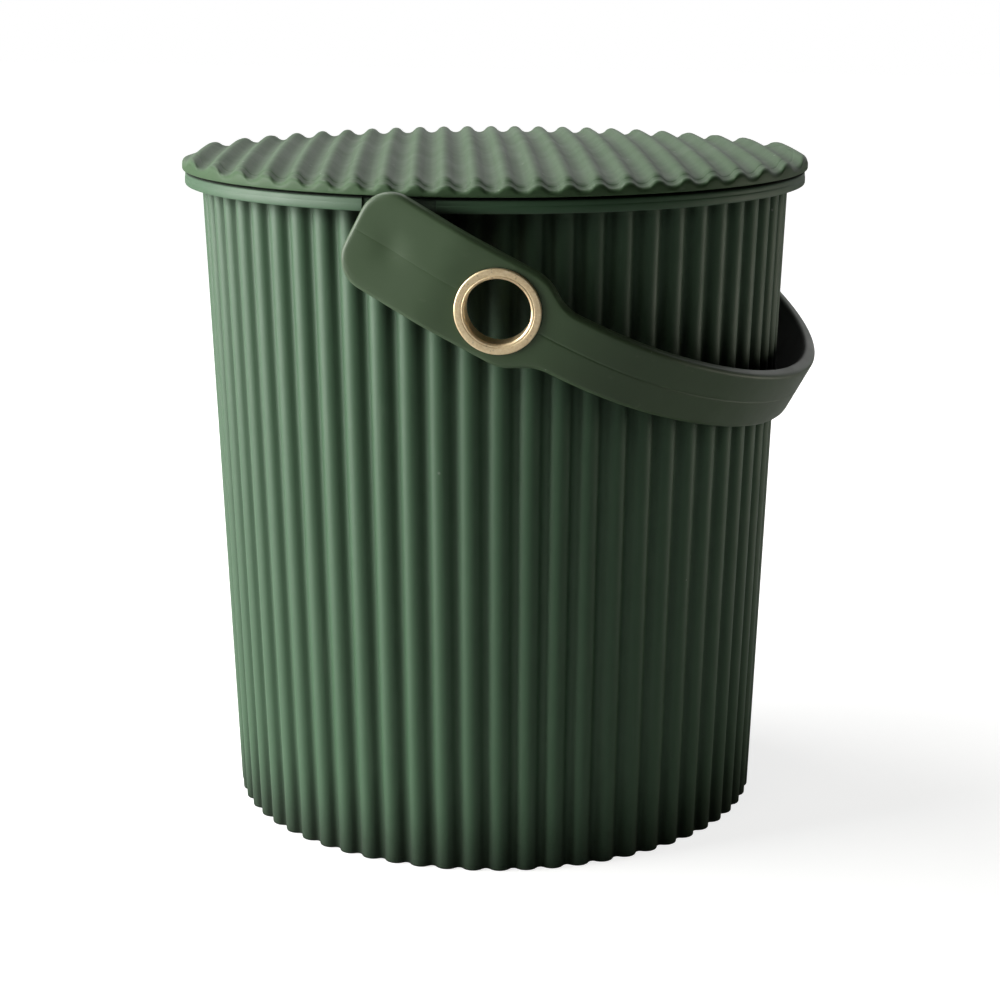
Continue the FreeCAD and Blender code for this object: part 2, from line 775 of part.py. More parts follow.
def add_eyelet_holes(handle, line):
    """A hole square through the facet of each arm."""
    for name, side in SIDES:
        hole = handle.newObject("PartDesign::SubtractiveCylinder", "eyelet_hole_" + name)
        bind(hole, "Radius", strap_hole)
        bind(hole, "Height", size["strap_thick"] + size["overrun"] * 2)
        through = FreeCAD.Placement(
            FreeCAD.Vector(0, 0, -mm("strap_thick") - mm("overrun")), FreeCAD.Rotation()
        )
        hole.Placement = eyelet_place(line, side).multiply(through)


def make_handle(line):
    """The strap handle, hung on the studs at rest."""
    handle = body("handle")
    plan = body_sketch(handle, "strap_plan", "XY_Plane")
    draw_strap(plan, line)
    half = pad(handle, "strap_half", plan, size["paddle_width"])
    mirrored(handle, "strap_loop", half)
    side = body_sketch(handle, "strap_side", "XZ_Plane")
    strap_side(side)
    trim = handle.newObject("PartDesign::Pocket", "strap_trim")
    trim.Profile = side
    trim.SideType = "Symmetric"
    bind(trim, "Length", strap_span * 2 + size["overrun"] * 4)
    doc.recompute()
    bevels = handle.newObject("PartDesign::Chamfer", "strap_bevels")
    bevels.Base = (trim, sharp_edges(trim.Shape))
    bind(bevels, "Size", size["strap_bevel"])
    add_sockets(handle)
    add_eyelet_holes(handle, line)
    handle.Placement = handle_placement()
    return handle


# Eyelets and the rings behind the strap, drawn with Z out of the facet.

def make_eyelet(name, line, side):
    """A flanged eyelet, its barrel through the strap and the ring behind."""
    part = body("eyelet_" + name)
    outer = size["eyelet_bore"] + size["eyelet_wall"]
    seat = size["eyelet_clearance"] / 2
    face = seat + size["eyelet_flange_thick"]
    back = -(size["strap_thick"] + size["washer_thick"] + size["eyelet_clearance"] * 2)
    outline = body_sketch(part, "eyelet_outline_" + name, "XZ_Plane")
    polygon(outline, (
        (size["eyelet_bore"], back),
        (outer, back),
        (outer, seat),
        (eyelet_flange, seat),
        (eyelet_flange, face),
        (size["eyelet_bore"], face),
    ))
    turned_feature(part, "Revolution", "eyelet_turned_" + name, outline, "Z_Axis")
    part.Placement = handle_placement().multiply(eyelet_place(line, side))
    return part


def make_washer(name, line, side):
    """The ring behind the strap that holds the eyelet."""
    part = body("eyelet_washer_" + name)
    inner = size["eyelet_bore"] + size["eyelet_wall"] + size["eyelet_clearance"] / 2
    front = -(size["strap_thick"] + size["eyelet_clearance"] / 2)
    back = front - size["washer_thick"]
    outline = body_sketch(part, "washer_outline_" + name, "XZ_Plane")
    polygon(outline, (
        (inner, front),
        (washer_radius, front),
        (washer_radius, back),
        (inner, back),
    ))
    turned_feature(part, "Revolution", "washer_turned_" + name, outline, "Z_Axis")
    part.Placement = handle_placement().multiply(eyelet_place(line, side))
    return part


def check_and_export(parts):
    """Stops on any broken feature or shape, and writes one STEP file for each piece."""
    doc.recompute()
    for item in doc.Objects:
        if {"Invalid", "Error"} & set(item.State):
            raise RuntimeError("%s is %s" % (item.Name, item.State))
    for part in parts:
        if part.Shape.isNull() or not part.Shape.isValid():
            raise RuntimeError("%s has no valid shape" % part.Label)
        part.Shape.exportStep("parts/%s.step" % part.Label)


strap = strap_line()
pieces = [make_bucket(), make_lid(), make_handle(strap)]
for side_name, side_sign in SIDES:
    pieces.append(make_eyelet(side_name, strap, side_sign))
    pieces.append(make_washer(side_name, strap, side_sign))
check_and_export(pieces)
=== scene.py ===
import json
import math

import bmesh
import bpy
from mathutils import Matrix, Vector

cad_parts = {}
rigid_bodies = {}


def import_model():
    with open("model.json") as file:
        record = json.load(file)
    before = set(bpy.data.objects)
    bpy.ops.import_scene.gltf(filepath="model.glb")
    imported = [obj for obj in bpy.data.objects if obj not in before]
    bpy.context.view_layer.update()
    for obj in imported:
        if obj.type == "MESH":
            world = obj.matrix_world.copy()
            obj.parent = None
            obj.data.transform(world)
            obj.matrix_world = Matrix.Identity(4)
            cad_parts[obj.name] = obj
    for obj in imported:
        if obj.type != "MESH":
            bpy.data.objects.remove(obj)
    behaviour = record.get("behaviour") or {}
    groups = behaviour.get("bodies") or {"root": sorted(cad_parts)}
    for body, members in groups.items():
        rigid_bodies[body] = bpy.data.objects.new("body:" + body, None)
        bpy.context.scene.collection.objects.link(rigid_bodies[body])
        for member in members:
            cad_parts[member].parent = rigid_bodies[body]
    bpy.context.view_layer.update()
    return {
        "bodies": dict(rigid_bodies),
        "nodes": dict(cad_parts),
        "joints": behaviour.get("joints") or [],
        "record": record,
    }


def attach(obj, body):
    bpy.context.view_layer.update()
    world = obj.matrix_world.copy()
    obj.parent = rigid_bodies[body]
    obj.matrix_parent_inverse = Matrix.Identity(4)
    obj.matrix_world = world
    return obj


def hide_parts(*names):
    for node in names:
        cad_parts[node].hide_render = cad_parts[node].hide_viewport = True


# Looks of the fluted bucket. Lengths are in millimetres until a mesh is made, and in metres
# in materials. Z is up, the pivots' axis runs along Y and the handle hangs on the +X side.

MM = 0.001

# Wall and ribs

RIB_COUNT = 64
RIB_DEPTH = 2.9
RIB_CREST_ROUND = 5.4
WALL = 2.2
BASE_RADIUS = 115.6
NECK_RADIUS = 124.9
NECK_HEIGHT = 270.0
FLOOR_RAISE = 4.0
FLOOR_THICK = 2.6
RECESS_RADIUS = 110.7

# Rim flange, lugs and studs. The middle of a rounded edge lies back by a share of it.

FLANGE_RADIUS = 132.0
FLANGE_HEIGHT = 5.4
FLANGE_WALL = 2.2
FLANGE_STEP = 0.16
FLANGE_STEP_SHARE = 0.52
MOUTH_RADIUS = 122.9
PIVOT_HEIGHT = 257.8
PANEL_FACE = 130.5
LUG_WIDTH = 29.0
LUG_FACE = 130.3
LUG_BACK = 125.5
LUG_EDGE = 0.7
LUG_TOP = NECK_HEIGHT + FLANGE_HEIGHT - 2.0
STUD_RADIUS = 6.0
STUD_START = 128.5
STUD_END = 139.1
STUD_TIP = 1.0
MIDDLE_SHARE = 0.3

# Lid: its ridges are turned and shifted from the pivots' axis, and sink at their ends

LID_RADIUS = 133.0
LID_TOP = 285.8
LID_DOME = 2600.0
LID_PITCH = 11.45
LID_RIDGE_DEPTH = 2.75
LID_CREST_ROUND = 3.4
LID_TURN = math.radians(17.35)
LID_SHIFT = 1.2
LID_THICK = 2.25
LID_BOTTOM = 276.2
LID_EDGE_REACH = 2.2
LID_EDGE_ROUND = 1.9
LID_EDGE_BAND = 0.6
LID_END_FADE = 0.2
LID_END_SAG = 1.3
LID_END_START = 121.5
LID_END_LENGTH = 9.5
LID_LINE_RADIUS = 126.6
LID_LINE_HALF = 0.45
LID_LINE_DEPTH = 0.16
SEAT_RADIUS = 126.0
SEAT_HEIGHT = 275.55
PLUG_RADIUS = 119.2
PLUG_WALL = 2.0
PLUG_BOTTOM = 266.4

# Handle strap, in its own frame: X from the pivot to the grip, Y along the pivots

HANG_ANGLE = math.radians(28.5996)
STRAP_REACH = 151.6
STRAP_SPAN = 142.6
STRAP_THICK = 6.0
PADDLE_WIDTH = 39.2
PADDLE_END = 16.6
PADDLE_CORNER = 12.4
GRIP_WIDTH = 24.8
EDGE_ROUND = 1.9
SHOULDER_START = 50.5
SHOULDER_LENGTH = 22.5
SHOULDER_ROUND = 17.0
TOE_ANGLE = math.radians(10.5)
TOE_BEND = 60.0
FACET_LENGTH = 37.0
EYELET_DISTANCE = 46.4
BOW_RADIUS = 83.986
BOSS_RADIUS = 10.5
BOSS_FACE = 131.3
BOSS_SINK = 0.4
SOCKET_RADIUS = 6.08
SOCKET_END = 139.7
PART_LINE_HALF = 0.3
PADDLE_LINE_DEPTH = 0.05
GRIP_LINE_DEPTH = 0.16
SINK_RADIUS = 6.0
SINK_DEPTH = 0.8
SINK_REACH = 30

# Eyelets, and the strap's holes and the rings behind that hold them

EYELET_BORE = 12.4
EYELET_WALL = 0.9
EYELET_FLANGE = 16.4
EYELET_THICK = 1.2
EYELET_BEVEL = 0.6
EYELET_EDGE = 0.6
EYELET_LINE = 13.6
EYELET_LINE_HALF = 0.22
EYELET_LINE_DEPTH = 0.16
EYELET_GAP = 0.05
STRAP_HOLE = 13.4
HOLE_SPARE = 4
WASHER_THICK = 1.0

# How finely the meshes are divided: counts, lengths from row to row, and places of rows

RIB_COLUMNS = 16
WALL_HEIGHTS = (2, 15, 40, 80, 120, 160, 200, 235, 258, 267)
INSIDE_HEIGHTS = (250, 180, 110, 50, 20)
PANEL_EDGE_TURNS = (-0.0016, -0.0004, 0.0004, 0.0016)
LUG_STEPS = 24
STUD_STEPS = 48
LID_COLUMNS = 1080
LID_HUB = 1.0
LID_TOP_STEP = 1.35
LID_RIM_RADII = (127.5, 128.2, 129.0, 129.7, 130.3)
LID_EDGE_STEPS = 11
LID_UNDER_STEP = 2.2
CORNER_STEPS = 12
CORNER_GAP = 1.5
PADDLE_STEP = 2.0
SHOULDER_STEP = 0.9
SHOULDER_MARGIN = 3
GRIP_STEP = 3.0
EDGE_STEPS = 6
SIDE_SHARES = (0.86, 0.7, 0.52, 0.36, 0.22, 0.1)
PART_LINE_PLACES = (0.4, 0.14)
SLOPE_REACH = 0.2
SOCKET_STEPS = 64
HOLE_STEPS = 96
EYELET_STEPS = 160
EYELET_CORNER_STEPS = 5

# Edges that turn by more degrees than these stay sharp

BUCKET_SHARP = 35
LID_SHARP = 50
HANDLE_SHARP = 40

# Sockets of a node that mixes colours: the colour under, the colour over and the result

MIX_UNDER = 6
MIX_OVER = 7
MIX_RESULT = 2

# Finishes, and the strengths of the floor and the backdrop

SCUFF_CONTRAST = 9.0
HOLLOW_ROUGHNESS = 0.45
PIT_COLOUR = (0.3, 0.2, 0.1, 1)
PIT_SHARE = 0.28
FLOOR_GREY = (0.5, 0.5, 0.5, 1)
FLOOR_NEAR = 0.8
FLOOR_BOUNCE = 0.03
ROOM_COLOUR = (1, 0.98, 0.72, 1)
ROOM_LIGHT = 0.010
BACKDROP_LIGHT = 0.22

# Places of the floor, backdrop and camera. The floor's fade and the camera's far end are
# in metres, and the backdrop's edge is a pair of cosines.

FLOOR_HALF = 6000
FLOOR_GAP = 0.2
FLOOR_FADE = (0.22, 0.75)
BACKDROP_EDGE = (0.35, 0.95)
SENSOR = 36
LENS = 2.1227 * SENSOR
LENS_SHIFT = 0.005
CAMERA_FAR = 50
CAMERA_TURN = math.radians(15.9)
CAMERA_DISTANCE = 918.7
CAMERA_HEIGHT = 362.5
CAMERA_PITCH = math.radians(14.366)


# Small mesh helpers

def new_piece(name, points, faces):
    """A mesh object from points in millimetres."""
    mesh = bpy.data.meshes.new(name)
    mesh.from_pydata([[c * MM for c in point] for point in points], [], faces)
    mesh.validate()
    mesh.update()
    piece = bpy.data.objects.new(name, mesh)
    bpy.context.scene.collection.objects.link(piece)
    return piece


def smooth_by_angle(piece, degrees):
    """Smooth faces, with edges that turn more than an angle kept sharp."""
    mesh = piece.data
    for face in mesh.polygons:
        face.use_smooth = True
    mesh.set_sharp_from_angle(angle=math.radians(degrees))


def outward_faces(piece):
    """Turns all faces of a closed mesh outward."""
    shape = bmesh.new()
    shape.from_mesh(piece.data)
    bmesh.ops.recalc_face_normals(shape, faces=shape.faces)
    shape.to_mesh(piece.data)
    shape.free()


def ring_faces(first, rows, count, closed_rows):
    """Faces of a grid of rows that each close on themselves."""
    faces = []
    last = rows if closed_rows else rows - 1
    for row in range(last):
        here = first + row * count
        there = first + ((row + 1) % rows) * count
        for i in range(count):
            j = (i + 1) % count
            faces.append((here + i, here + j, there + j, there + i))
    return faces


def add_disc(points, faces, row_start, count, centre):
    """Closes a row with a fan to its centre point."""
    middle = len(points)
    points.append(centre)
    for i in range(count):
        faces.append((row_start + i, row_start + (i + 1) % count, middle))


def capped_faces(points, first, count, start, end):
    """Faces over all rows from the first point on, closed at both ends by fans."""
    rows = (len(points) - first) // count
    faces = ring_faces(first, rows, count, False)
    add_disc(points, faces, first, count, start)
    add_disc(points, faces, first + (rows - 1) * count, count, end)
    return faces


def circle(radius, count):
    """Places of even points round a circle."""
    turns = [2 * math.pi * i / count for i in range(count)]
    return [(radius * math.cos(turn), radius * math.sin(turn)) for turn in turns]


def turned_ring(profile, count):
    """Points and faces of a closed profile of (radius, height) turned round Z."""
    points = []
    for radius, height in profile:
        points += [(x, y, height) for x, y in circle(radius, count)]
    return points, ring_faces(0, len(profile), count, True)


def rounded_corner(before, corner, after, radius, steps):
    """Points of an arc that rounds one corner of a flat outline."""
    here = Vector(corner)
    back = (Vector(before) - here).normalized()
    on = (Vector(after) - here).normalized()
    half = back.angle(on) / 2
    reach = radius / math.tan(half)
    centre = here + (back + on).normalized() * (radius / math.sin(half))
    start = here + back * reach - centre
    end = here + on * reach - centre
    total = start.angle(end)
    points = []
    for k in range(steps + 1):
        share = k / steps
        mix = start * math.sin((1 - share) * total) + end * math.sin(share * total)
        points.append(tuple(centre + mix / math.sin(total)))
    return points


def rounded_profile(corners, steps):
    """A closed outline whose corners (across, up, radius) are rounded, but not at radius 0."""
    outline = []
    count = len(corners)
    for i, (across, up, radius) in enumerate(corners):
        if radius == 0:
            outline.append((across, up))
            continue
        before = corners[i - 1][:2]
        after = corners[(i + 1) % count][:2]
        outline += rounded_corner(before, (across, up), after, radius, steps)
    return outline


# The wave of the wall: tangent arcs on a circle

def wave_arc_sizes(step):
    """Centre radii of the crest and valley arcs, and the valley's own radius."""
    crest_centre = NECK_RADIUS - RIB_CREST_ROUND
    valley = NECK_RADIUS - RIB_DEPTH
    turn = math.cos(step / 2)
    gap_squared = crest_centre ** 2 + valley ** 2 - 2 * crest_centre * valley * turn
    valley_round = (gap_squared - RIB_CREST_ROUND ** 2) / (
        2 * (RIB_CREST_ROUND - valley + crest_centre * turn)
    )
    return crest_centre, valley + valley_round, valley_round


def wall_radius(angle, skin):
    """Radius of the wall's wave under the flange, skin inside the outer face."""
    step = 2 * math.pi / RIB_COUNT
    crest_centre, valley_centre, valley_round = wave_arc_sizes(step)
    offset = (angle + step / 2) % step - step / 2
    share = (RIB_CREST_ROUND - skin) / (RIB_CREST_ROUND + valley_round)
    joint_x = crest_centre + (valley_centre * math.cos(step / 2) - crest_centre) * share
    joint_y = valley_centre * math.sin(step / 2) * share
    if abs(offset) <= math.atan2(joint_y, joint_x):
        own = RIB_CREST_ROUND - skin
        across = crest_centre * math.sin(offset)
        return crest_centre * math.cos(offset) + math.sqrt(own ** 2 - across ** 2)
    off_valley = step / 2 - abs(offset)
    own = valley_round + skin
    across = valley_centre * math.sin(off_valley)
    return valley_centre * math.cos(off_valley) - math.sqrt(own ** 2 - across ** 2)


def wall_share(height):
    """How much smaller than under the flange the wall is at a height."""
    rise = (NECK_RADIUS - BASE_RADIUS) / NECK_HEIGHT
    return (BASE_RADIUS + rise * height) / NECK_RADIUS


# Bucket

def wall_angles():
    """Angles of the wall's columns: even steps, and close ones at the lug panels' edges."""
    steps = RIB_COUNT * RIB_COLUMNS
    angles = [2 * math.pi * i / steps for i in range(steps)]
    edge = math.asin(LUG_WIDTH / 2 / FLANGE_RADIUS)
    for middle in (math.pi / 2, 3 * math.pi / 2):
        for side in (-1, 1):
            angles += [middle + side * edge + turn for turn in PANEL_EDGE_TURNS]
    return sorted(angles)


def bucket_rows():
    """The bucket's section from under the floor to the inside: (kind, size, height).

    A "circle" row is round and a "panel" row is flat at the lugs, and their size is the radius.
    "outer" and "inner" rows follow the two faces of the fluted wall, and their size says how
    far they lie inside it. Rows that lie close together round an edge.
    """
    top = NECK_HEIGHT + FLANGE_HEIGHT
    hollow_in = NECK_RADIUS + 0.4
    hollow_out = FLANGE_RADIUS - FLANGE_WALL
    hollow_top = top - FLANGE_WALL
    middle = NECK_HEIGHT + FLANGE_HEIGHT * FLANGE_STEP_SHARE
    upper = FLANGE_RADIUS - FLANGE_STEP
    floor = FLOOR_RAISE + FLOOR_THICK
    rows = [
        ("circle", RECESS_RADIUS - 1.2, FLOOR_RAISE),
        ("circle", RECESS_RADIUS - 0.4, FLOOR_RAISE - 0.3),
        ("circle", RECESS_RADIUS, FLOOR_RAISE - 1.2),
        ("circle", RECESS_RADIUS, 0.3),
        ("circle", RECESS_RADIUS + 0.3, 0),
        ("outer", 0.55, 0),
        ("outer", 0.22, 0.12),
        ("outer", 0.05, 0.35),
        ("outer", 0, 0.8),
    ]
    rows += [("outer", 0, height) for height in WALL_HEIGHTS]
    rows += [
        ("outer", 0, NECK_HEIGHT - 0.4),
        ("outer", -0.25, NECK_HEIGHT),
        ("circle", hollow_in, NECK_HEIGHT + 0.05),
        ("circle", hollow_in, hollow_top - 0.3),
        ("circle", hollow_in + 0.3, hollow_top),
        ("circle", hollow_out - 0.3, hollow_top),
        ("circle", hollow_out, hollow_top - 0.3),
        ("panel", hollow_out, NECK_HEIGHT + 0.3),
        ("panel", hollow_out + 0.3, NECK_HEIGHT),
        ("panel", FLANGE_RADIUS - 0.55, NECK_HEIGHT),
        ("panel", FLANGE_RADIUS - 0.16, NECK_HEIGHT + 0.16),
        ("panel", FLANGE_RADIUS, NECK_HEIGHT + 0.55),
        ("panel", FLANGE_RADIUS, middle - 0.3),
        ("panel", FLANGE_RADIUS - 0.05, middle - 0.08),
        ("panel", upper, middle + 0.12),
        ("panel", upper, middle + 0.4),
        ("panel", upper, top - 1.3),
        ("panel", upper - 0.1, top - 0.8),
        ("panel", upper - 0.4, top - 0.35),
        ("panel", upper - 0.85, top - 0.08),
        ("panel", upper - 1.4, top),
        ("circle", MOUTH_RADIUS + 0.8, top),
        ("circle", MOUTH_RADIUS + 0.25, top - 0.2),
        ("circle", MOUTH_RADIUS, top - 0.8),
        ("circle", MOUTH_RADIUS, NECK_HEIGHT + WALL + 0.3),
        ("circle", MOUTH_RADIUS - 0.1, NECK_HEIGHT + WALL),
        ("inner", 0.05, NECK_HEIGHT + WALL - 0.1),
        ("inner", 0, NECK_HEIGHT + WALL - 0.5),
    ]
    rows += [("inner", 0, height) for height in INSIDE_HEIGHTS]
    rows += [
        ("inner", 0, floor + 2.5),
        ("inner", 0.3, floor + 1.2),
        ("inner", 1.0, floor + 0.4),
        ("inner", 2.2, floor),
        ("circle", RECESS_RADIUS - 8, floor),
    ]
    return rows


def panel_point(radius, angle):
    """A point of the flange, flat across the lug panels."""
    x = radius * math.cos(angle)
    y = radius * math.sin(angle)
    flat = PANEL_FACE - (FLANGE_RADIUS - radius)
    if abs(x) < LUG_WIDTH / 2 and abs(y) > flat:
        y = math.copysign(flat, y)
    return x, y


def bucket_shell():
    """Wall, floor and rim as one closed skin."""
    angles = wall_angles()
    count = len(angles)
    outer = [wall_radius(angle, 0) for angle in angles]
    inner = [wall_radius(angle, WALL) for angle in angles]
    points = []
    for kind, size, height in bucket_rows():
        for i, angle in enumerate(angles):
            if kind == "panel":
                x, y = panel_point(size, angle)
            else:
                radius = size
                if kind != "circle":
                    wave = outer if kind == "outer" else inner
                    radius = wave[i] * wall_share(height) - size
                x = radius * math.cos(angle)
                y = radius * math.sin(angle)
            points.append((x, y, height))
    floor = FLOOR_RAISE + FLOOR_THICK
    return points, capped_faces(points, 0, count, (0, 0, FLOOR_RAISE), (0, 0, floor))


def lug_outline(inset):
    """The lug seen along the pivot axis: square above, round below."""
    half = LUG_WIDTH / 2 - inset
    outline = [(half, LUG_TOP - inset), (-half, LUG_TOP - inset)]
    for k in range(LUG_STEPS + 1):
        angle = math.pi + math.pi * k / LUG_STEPS
        outline.append((half * math.cos(angle), PIVOT_HEIGHT + half * math.sin(angle)))
    return outline


def add_lug(points, faces, side):
    """One lug that hangs from the flange."""
    layers = [
        (LUG_BACK, LUG_EDGE),
        (LUG_BACK + LUG_EDGE, 0),
        (LUG_FACE - LUG_EDGE, 0),
        (LUG_FACE - LUG_EDGE * MIDDLE_SHARE, LUG_EDGE * MIDDLE_SHARE),
        (LUG_FACE, LUG_EDGE),
    ]
    first = len(points)
    count = len(lug_outline(0))
    for away, inset in layers:
        for x, z in lug_outline(inset):
            points.append((x, side * away, z))
    back = (0, side * LUG_BACK, PIVOT_HEIGHT)
    face = (0, side * LUG_FACE, PIVOT_HEIGHT)
    faces += capped_faces(points, first, count, back, face)


def add_stud(points, faces, side):
    """One stud that the handle swings on, with a bevelled tip."""
    first = len(points)
    stud = [
        (STUD_RADIUS, STUD_START),
        (STUD_RADIUS, STUD_END - STUD_TIP),
        (STUD_RADIUS - STUD_TIP * MIDDLE_SHARE, STUD_END - STUD_TIP * MIDDLE_SHARE),
        (STUD_RADIUS - STUD_TIP, STUD_END),
    ]
    for radius, away in stud:
        points += [(x, side * away, PIVOT_HEIGHT + z) for x, z in circle(radius, STUD_STEPS)]
    root = (0, side * STUD_START, PIVOT_HEIGHT)
    tip = (0, side * STUD_END, PIVOT_HEIGHT)
    faces += capped_faces(points, first, STUD_STEPS, root, tip)


def make_bucket():
    """The bucket with its lugs and studs."""
    points, faces = bucket_shell()
    for side in (-1, 1):
        add_lug(points, faces, side)
        add_stud(points, faces, side)
    piece = new_piece("bucket_shell", points, faces)
    outward_faces(piece)
    smooth_by_angle(piece, BUCKET_SHARP)
    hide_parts("bucket")
    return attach(piece, "bucket_body")


# Lid

def ridge_drop(across):
    """How far the ridges' wave lies below its crests at a distance across."""
    half = LID_PITCH / 2
    offset = abs((across + half) % LID_PITCH - half)
    valley_round = (half ** 2 + LID_RIDGE_DEPTH ** 2) / (2 * LID_RIDGE_DEPTH) - LID_CREST_ROUND
    joint = half * LID_CREST_ROUND / (LID_CREST_ROUND + valley_round)
    if offset <= joint:
        return LID_CREST_ROUND - math.sqrt(LID_CREST_ROUND ** 2 - offset ** 2)
    from_valley = half - offset
    return LID_RIDGE_DEPTH - valley_round + math.sqrt(valley_round ** 2 - from_valley ** 2)


def lid_height(radius, angle):
    """Height of the lid's top at a place: its dome and its ridges, which sink at their ends."""
    across = radius * math.cos(angle - LID_TURN) - LID_SHIFT
    dome = radius ** 2 / (2 * LID_DOME)
    drop = ridge_drop(across)
    out = min(max((radius - LID_END_START) / LID_END_LENGTH, 0), 1)
    near_end = out * out * (3 - 2 * out) * math.sin(angle - LID_TURN) ** 2
    sag = LID_END_SAG + (LID_RIDGE_DEPTH - drop) * LID_END_FADE
    return LID_TOP - dome - drop - sag * near_end


def lid_rows():
    """The lid's section from its centre, over the edge and back below: (radius, kind, offset).

    A "top" row lies its offset over the ridges, an "edge" row follows a share of the rim's
    rounding, a "level" row lies at its own height, and an "under" row follows the underside.
    """
    rows = []
    radius = LID_HUB
    while radius < LID_LINE_RADIUS - LID_TOP_STEP:
        rows.append((radius, "top", 0))
        radius += LID_TOP_STEP
    rows += [
        (LID_LINE_RADIUS - LID_LINE_HALF, "top", 0),
        (LID_LINE_RADIUS - LID_LINE_HALF / 3, "top", -LID_LINE_DEPTH),
        (LID_LINE_RADIUS + LID_LINE_HALF / 3, "top", -LID_LINE_DEPTH),
        (LID_LINE_RADIUS + LID_LINE_HALF, "top", 0),
    ]
    rows += [(radius, "top", 0) for radius in LID_RIM_RADII]
    for k in range(LID_EDGE_STEPS + 1):
        turn = math.pi / 2 * k / LID_EDGE_STEPS
        away = LID_EDGE_REACH * (1 - math.sin(turn))
        rows.append((LID_RADIUS - away, "edge", 1 - math.cos(turn)))
    inside = PLUG_RADIUS - PLUG_WALL
    levels = [
        (LID_RADIUS, LID_BOTTOM + 0.35),
        (LID_RADIUS - 0.1, LID_BOTTOM + 0.1),
        (LID_RADIUS - 0.35, LID_BOTTOM),
        (SEAT_RADIUS + 0.2, LID_BOTTOM),
        (SEAT_RADIUS, LID_BOTTOM - 0.2),
        (SEAT_RADIUS, SEAT_HEIGHT + 0.2),
        (SEAT_RADIUS - 0.2, SEAT_HEIGHT),
        (PLUG_RADIUS + 0.6, SEAT_HEIGHT),
        (PLUG_RADIUS + 0.15, SEAT_HEIGHT - 0.15),
        (PLUG_RADIUS, SEAT_HEIGHT - 0.6),
        (PLUG_RADIUS, PLUG_BOTTOM + 0.6),
        (PLUG_RADIUS - 0.2, PLUG_BOTTOM + 0.15),
        (PLUG_RADIUS - 0.6, PLUG_BOTTOM),
        (inside + 0.4, PLUG_BOTTOM),
        (inside, PLUG_BOTTOM + 0.4),
    ]
    rows += [(radius, "level", height) for radius, height in levels]
    rows += [(inside, "under", -0.6), (inside - 0.5, "under", 0)]
    radius = inside - 2.0
    while radius > LID_UNDER_STEP:
        rows.append((radius, "under", 0))
        radius -= LID_UNDER_STEP
    return rows


def make_lid():
    """The corrugated lid with its seat ring and locating ring."""
    points = []
    for radius, kind, offset in lid_rows():
        for i, (x, y) in enumerate(circle(radius, LID_COLUMNS)):
            top = lid_height(radius, 2 * math.pi * i / LID_COLUMNS)
            if kind == "level":
                z = offset
            elif kind == "top":
                z = top + offset
            elif kind == "edge":
                z = top - min(LID_EDGE_ROUND, top - LID_BOTTOM - LID_EDGE_BAND) * offset
            else:
                z = top - LID_THICK + offset
            points.append((x, y, z))
    under = (0, 0, LID_TOP - LID_THICK)
    faces = capped_faces(points, 0, LID_COLUMNS, (0, 0, LID_TOP), under)
    piece = new_piece("lid_plate", points, faces)
    outward_faces(piece)
    smooth_by_angle(piece, LID_SHARP)
    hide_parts("lid")
    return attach(piece, "lid_body")


# Handle

def handle_frame():
    """The handle's own frame, hanging at rest."""
    return Matrix.Translation((0, 0, PIVOT_HEIGHT)) @ Matrix.Rotation(HANG_ANGLE, 4, "Y")


def strap_path():
    """The far half of the strap's outer face as lines and arcs, from its end to the grip.

    A straight paddle, a bend, a flat facet that holds the eyelet, a close arc called the bow,
    and the wide arc of the grip. "ends" holds the distances from the pivot, along the face,
    at which the first four parts and the half strap end.
    """
    along = Vector((math.cos(TOE_ANGLE), -math.sin(TOE_ANGLE)))
    outward = Vector((math.sin(TOE_ANGLE), math.cos(TOE_ANGLE)))
    bend_start = EYELET_DISTANCE - FACET_LENGTH / 2 - TOE_BEND * TOE_ANGLE
    bend_centre = Vector((bend_start, STRAP_SPAN - TOE_BEND))
    facet_start = bend_centre + outward * TOE_BEND
    facet_end = facet_start + along * FACET_LENGTH
    bow_centre = facet_end - outward * BOW_RADIUS
    reach = STRAP_REACH - bow_centre.x
    grip = (reach ** 2 + bow_centre.y ** 2 - BOW_RADIUS ** 2) / (2 * (reach - BOW_RADIUS))
    grip_centre = Vector((STRAP_REACH - grip, 0))
    toward = (bow_centre - grip_centre).normalized()
    grip_turn = math.atan2(toward.y, toward.x)
    bow_turn = math.pi / 2 - TOE_ANGLE - grip_turn
    bend_reach = bend_start + TOE_BEND * TOE_ANGLE
    facet_reach = bend_reach + FACET_LENGTH
    bow_reach = facet_reach + BOW_RADIUS * bow_turn
    grip_reach = bow_reach + grip * grip_turn
    return {
        "along": along,
        "outward": outward,
        "bend_centre": bend_centre,
        "facet_start": facet_start,
        "facet_middle": (facet_start + facet_end) / 2,
        "bow_centre": bow_centre,
        "grip": grip,
        "grip_centre": grip_centre,
        "grip_turn": grip_turn,
        "ends": (bend_start, bend_reach, facet_reach, bow_reach, grip_reach),
    }


def on_arc(centre, radius, turn):
    """A point of an arc at an angle from X."""
    return centre + Vector((math.cos(turn), math.sin(turn))) * radius


def place_on_path(path, along, depth):
    """A point depth inside the outer face at a distance along the strap."""
    bend_start, bend_end, facet_end, bow_end = path["ends"][:4]
    if along <= bend_start:
        return Vector((along, STRAP_SPAN - depth))
    if along <= bend_end:
        turn = math.pi / 2 - (along - bend_start) / TOE_BEND
        return on_arc(path["bend_centre"], TOE_BEND - depth, turn)
    if along <= facet_end:
        return path["facet_start"] + path["along"] * (along - bend_end) - path["outward"] * depth
    if along <= bow_end:
        turn = math.pi / 2 - TOE_ANGLE - (along - facet_end) / BOW_RADIUS
        return on_arc(path["bow_centre"], BOW_RADIUS - depth, turn)
    turn = path["grip_turn"] - (along - bow_end) / path["grip"]
    return on_arc(path["grip_centre"], path["grip"] - depth, turn)


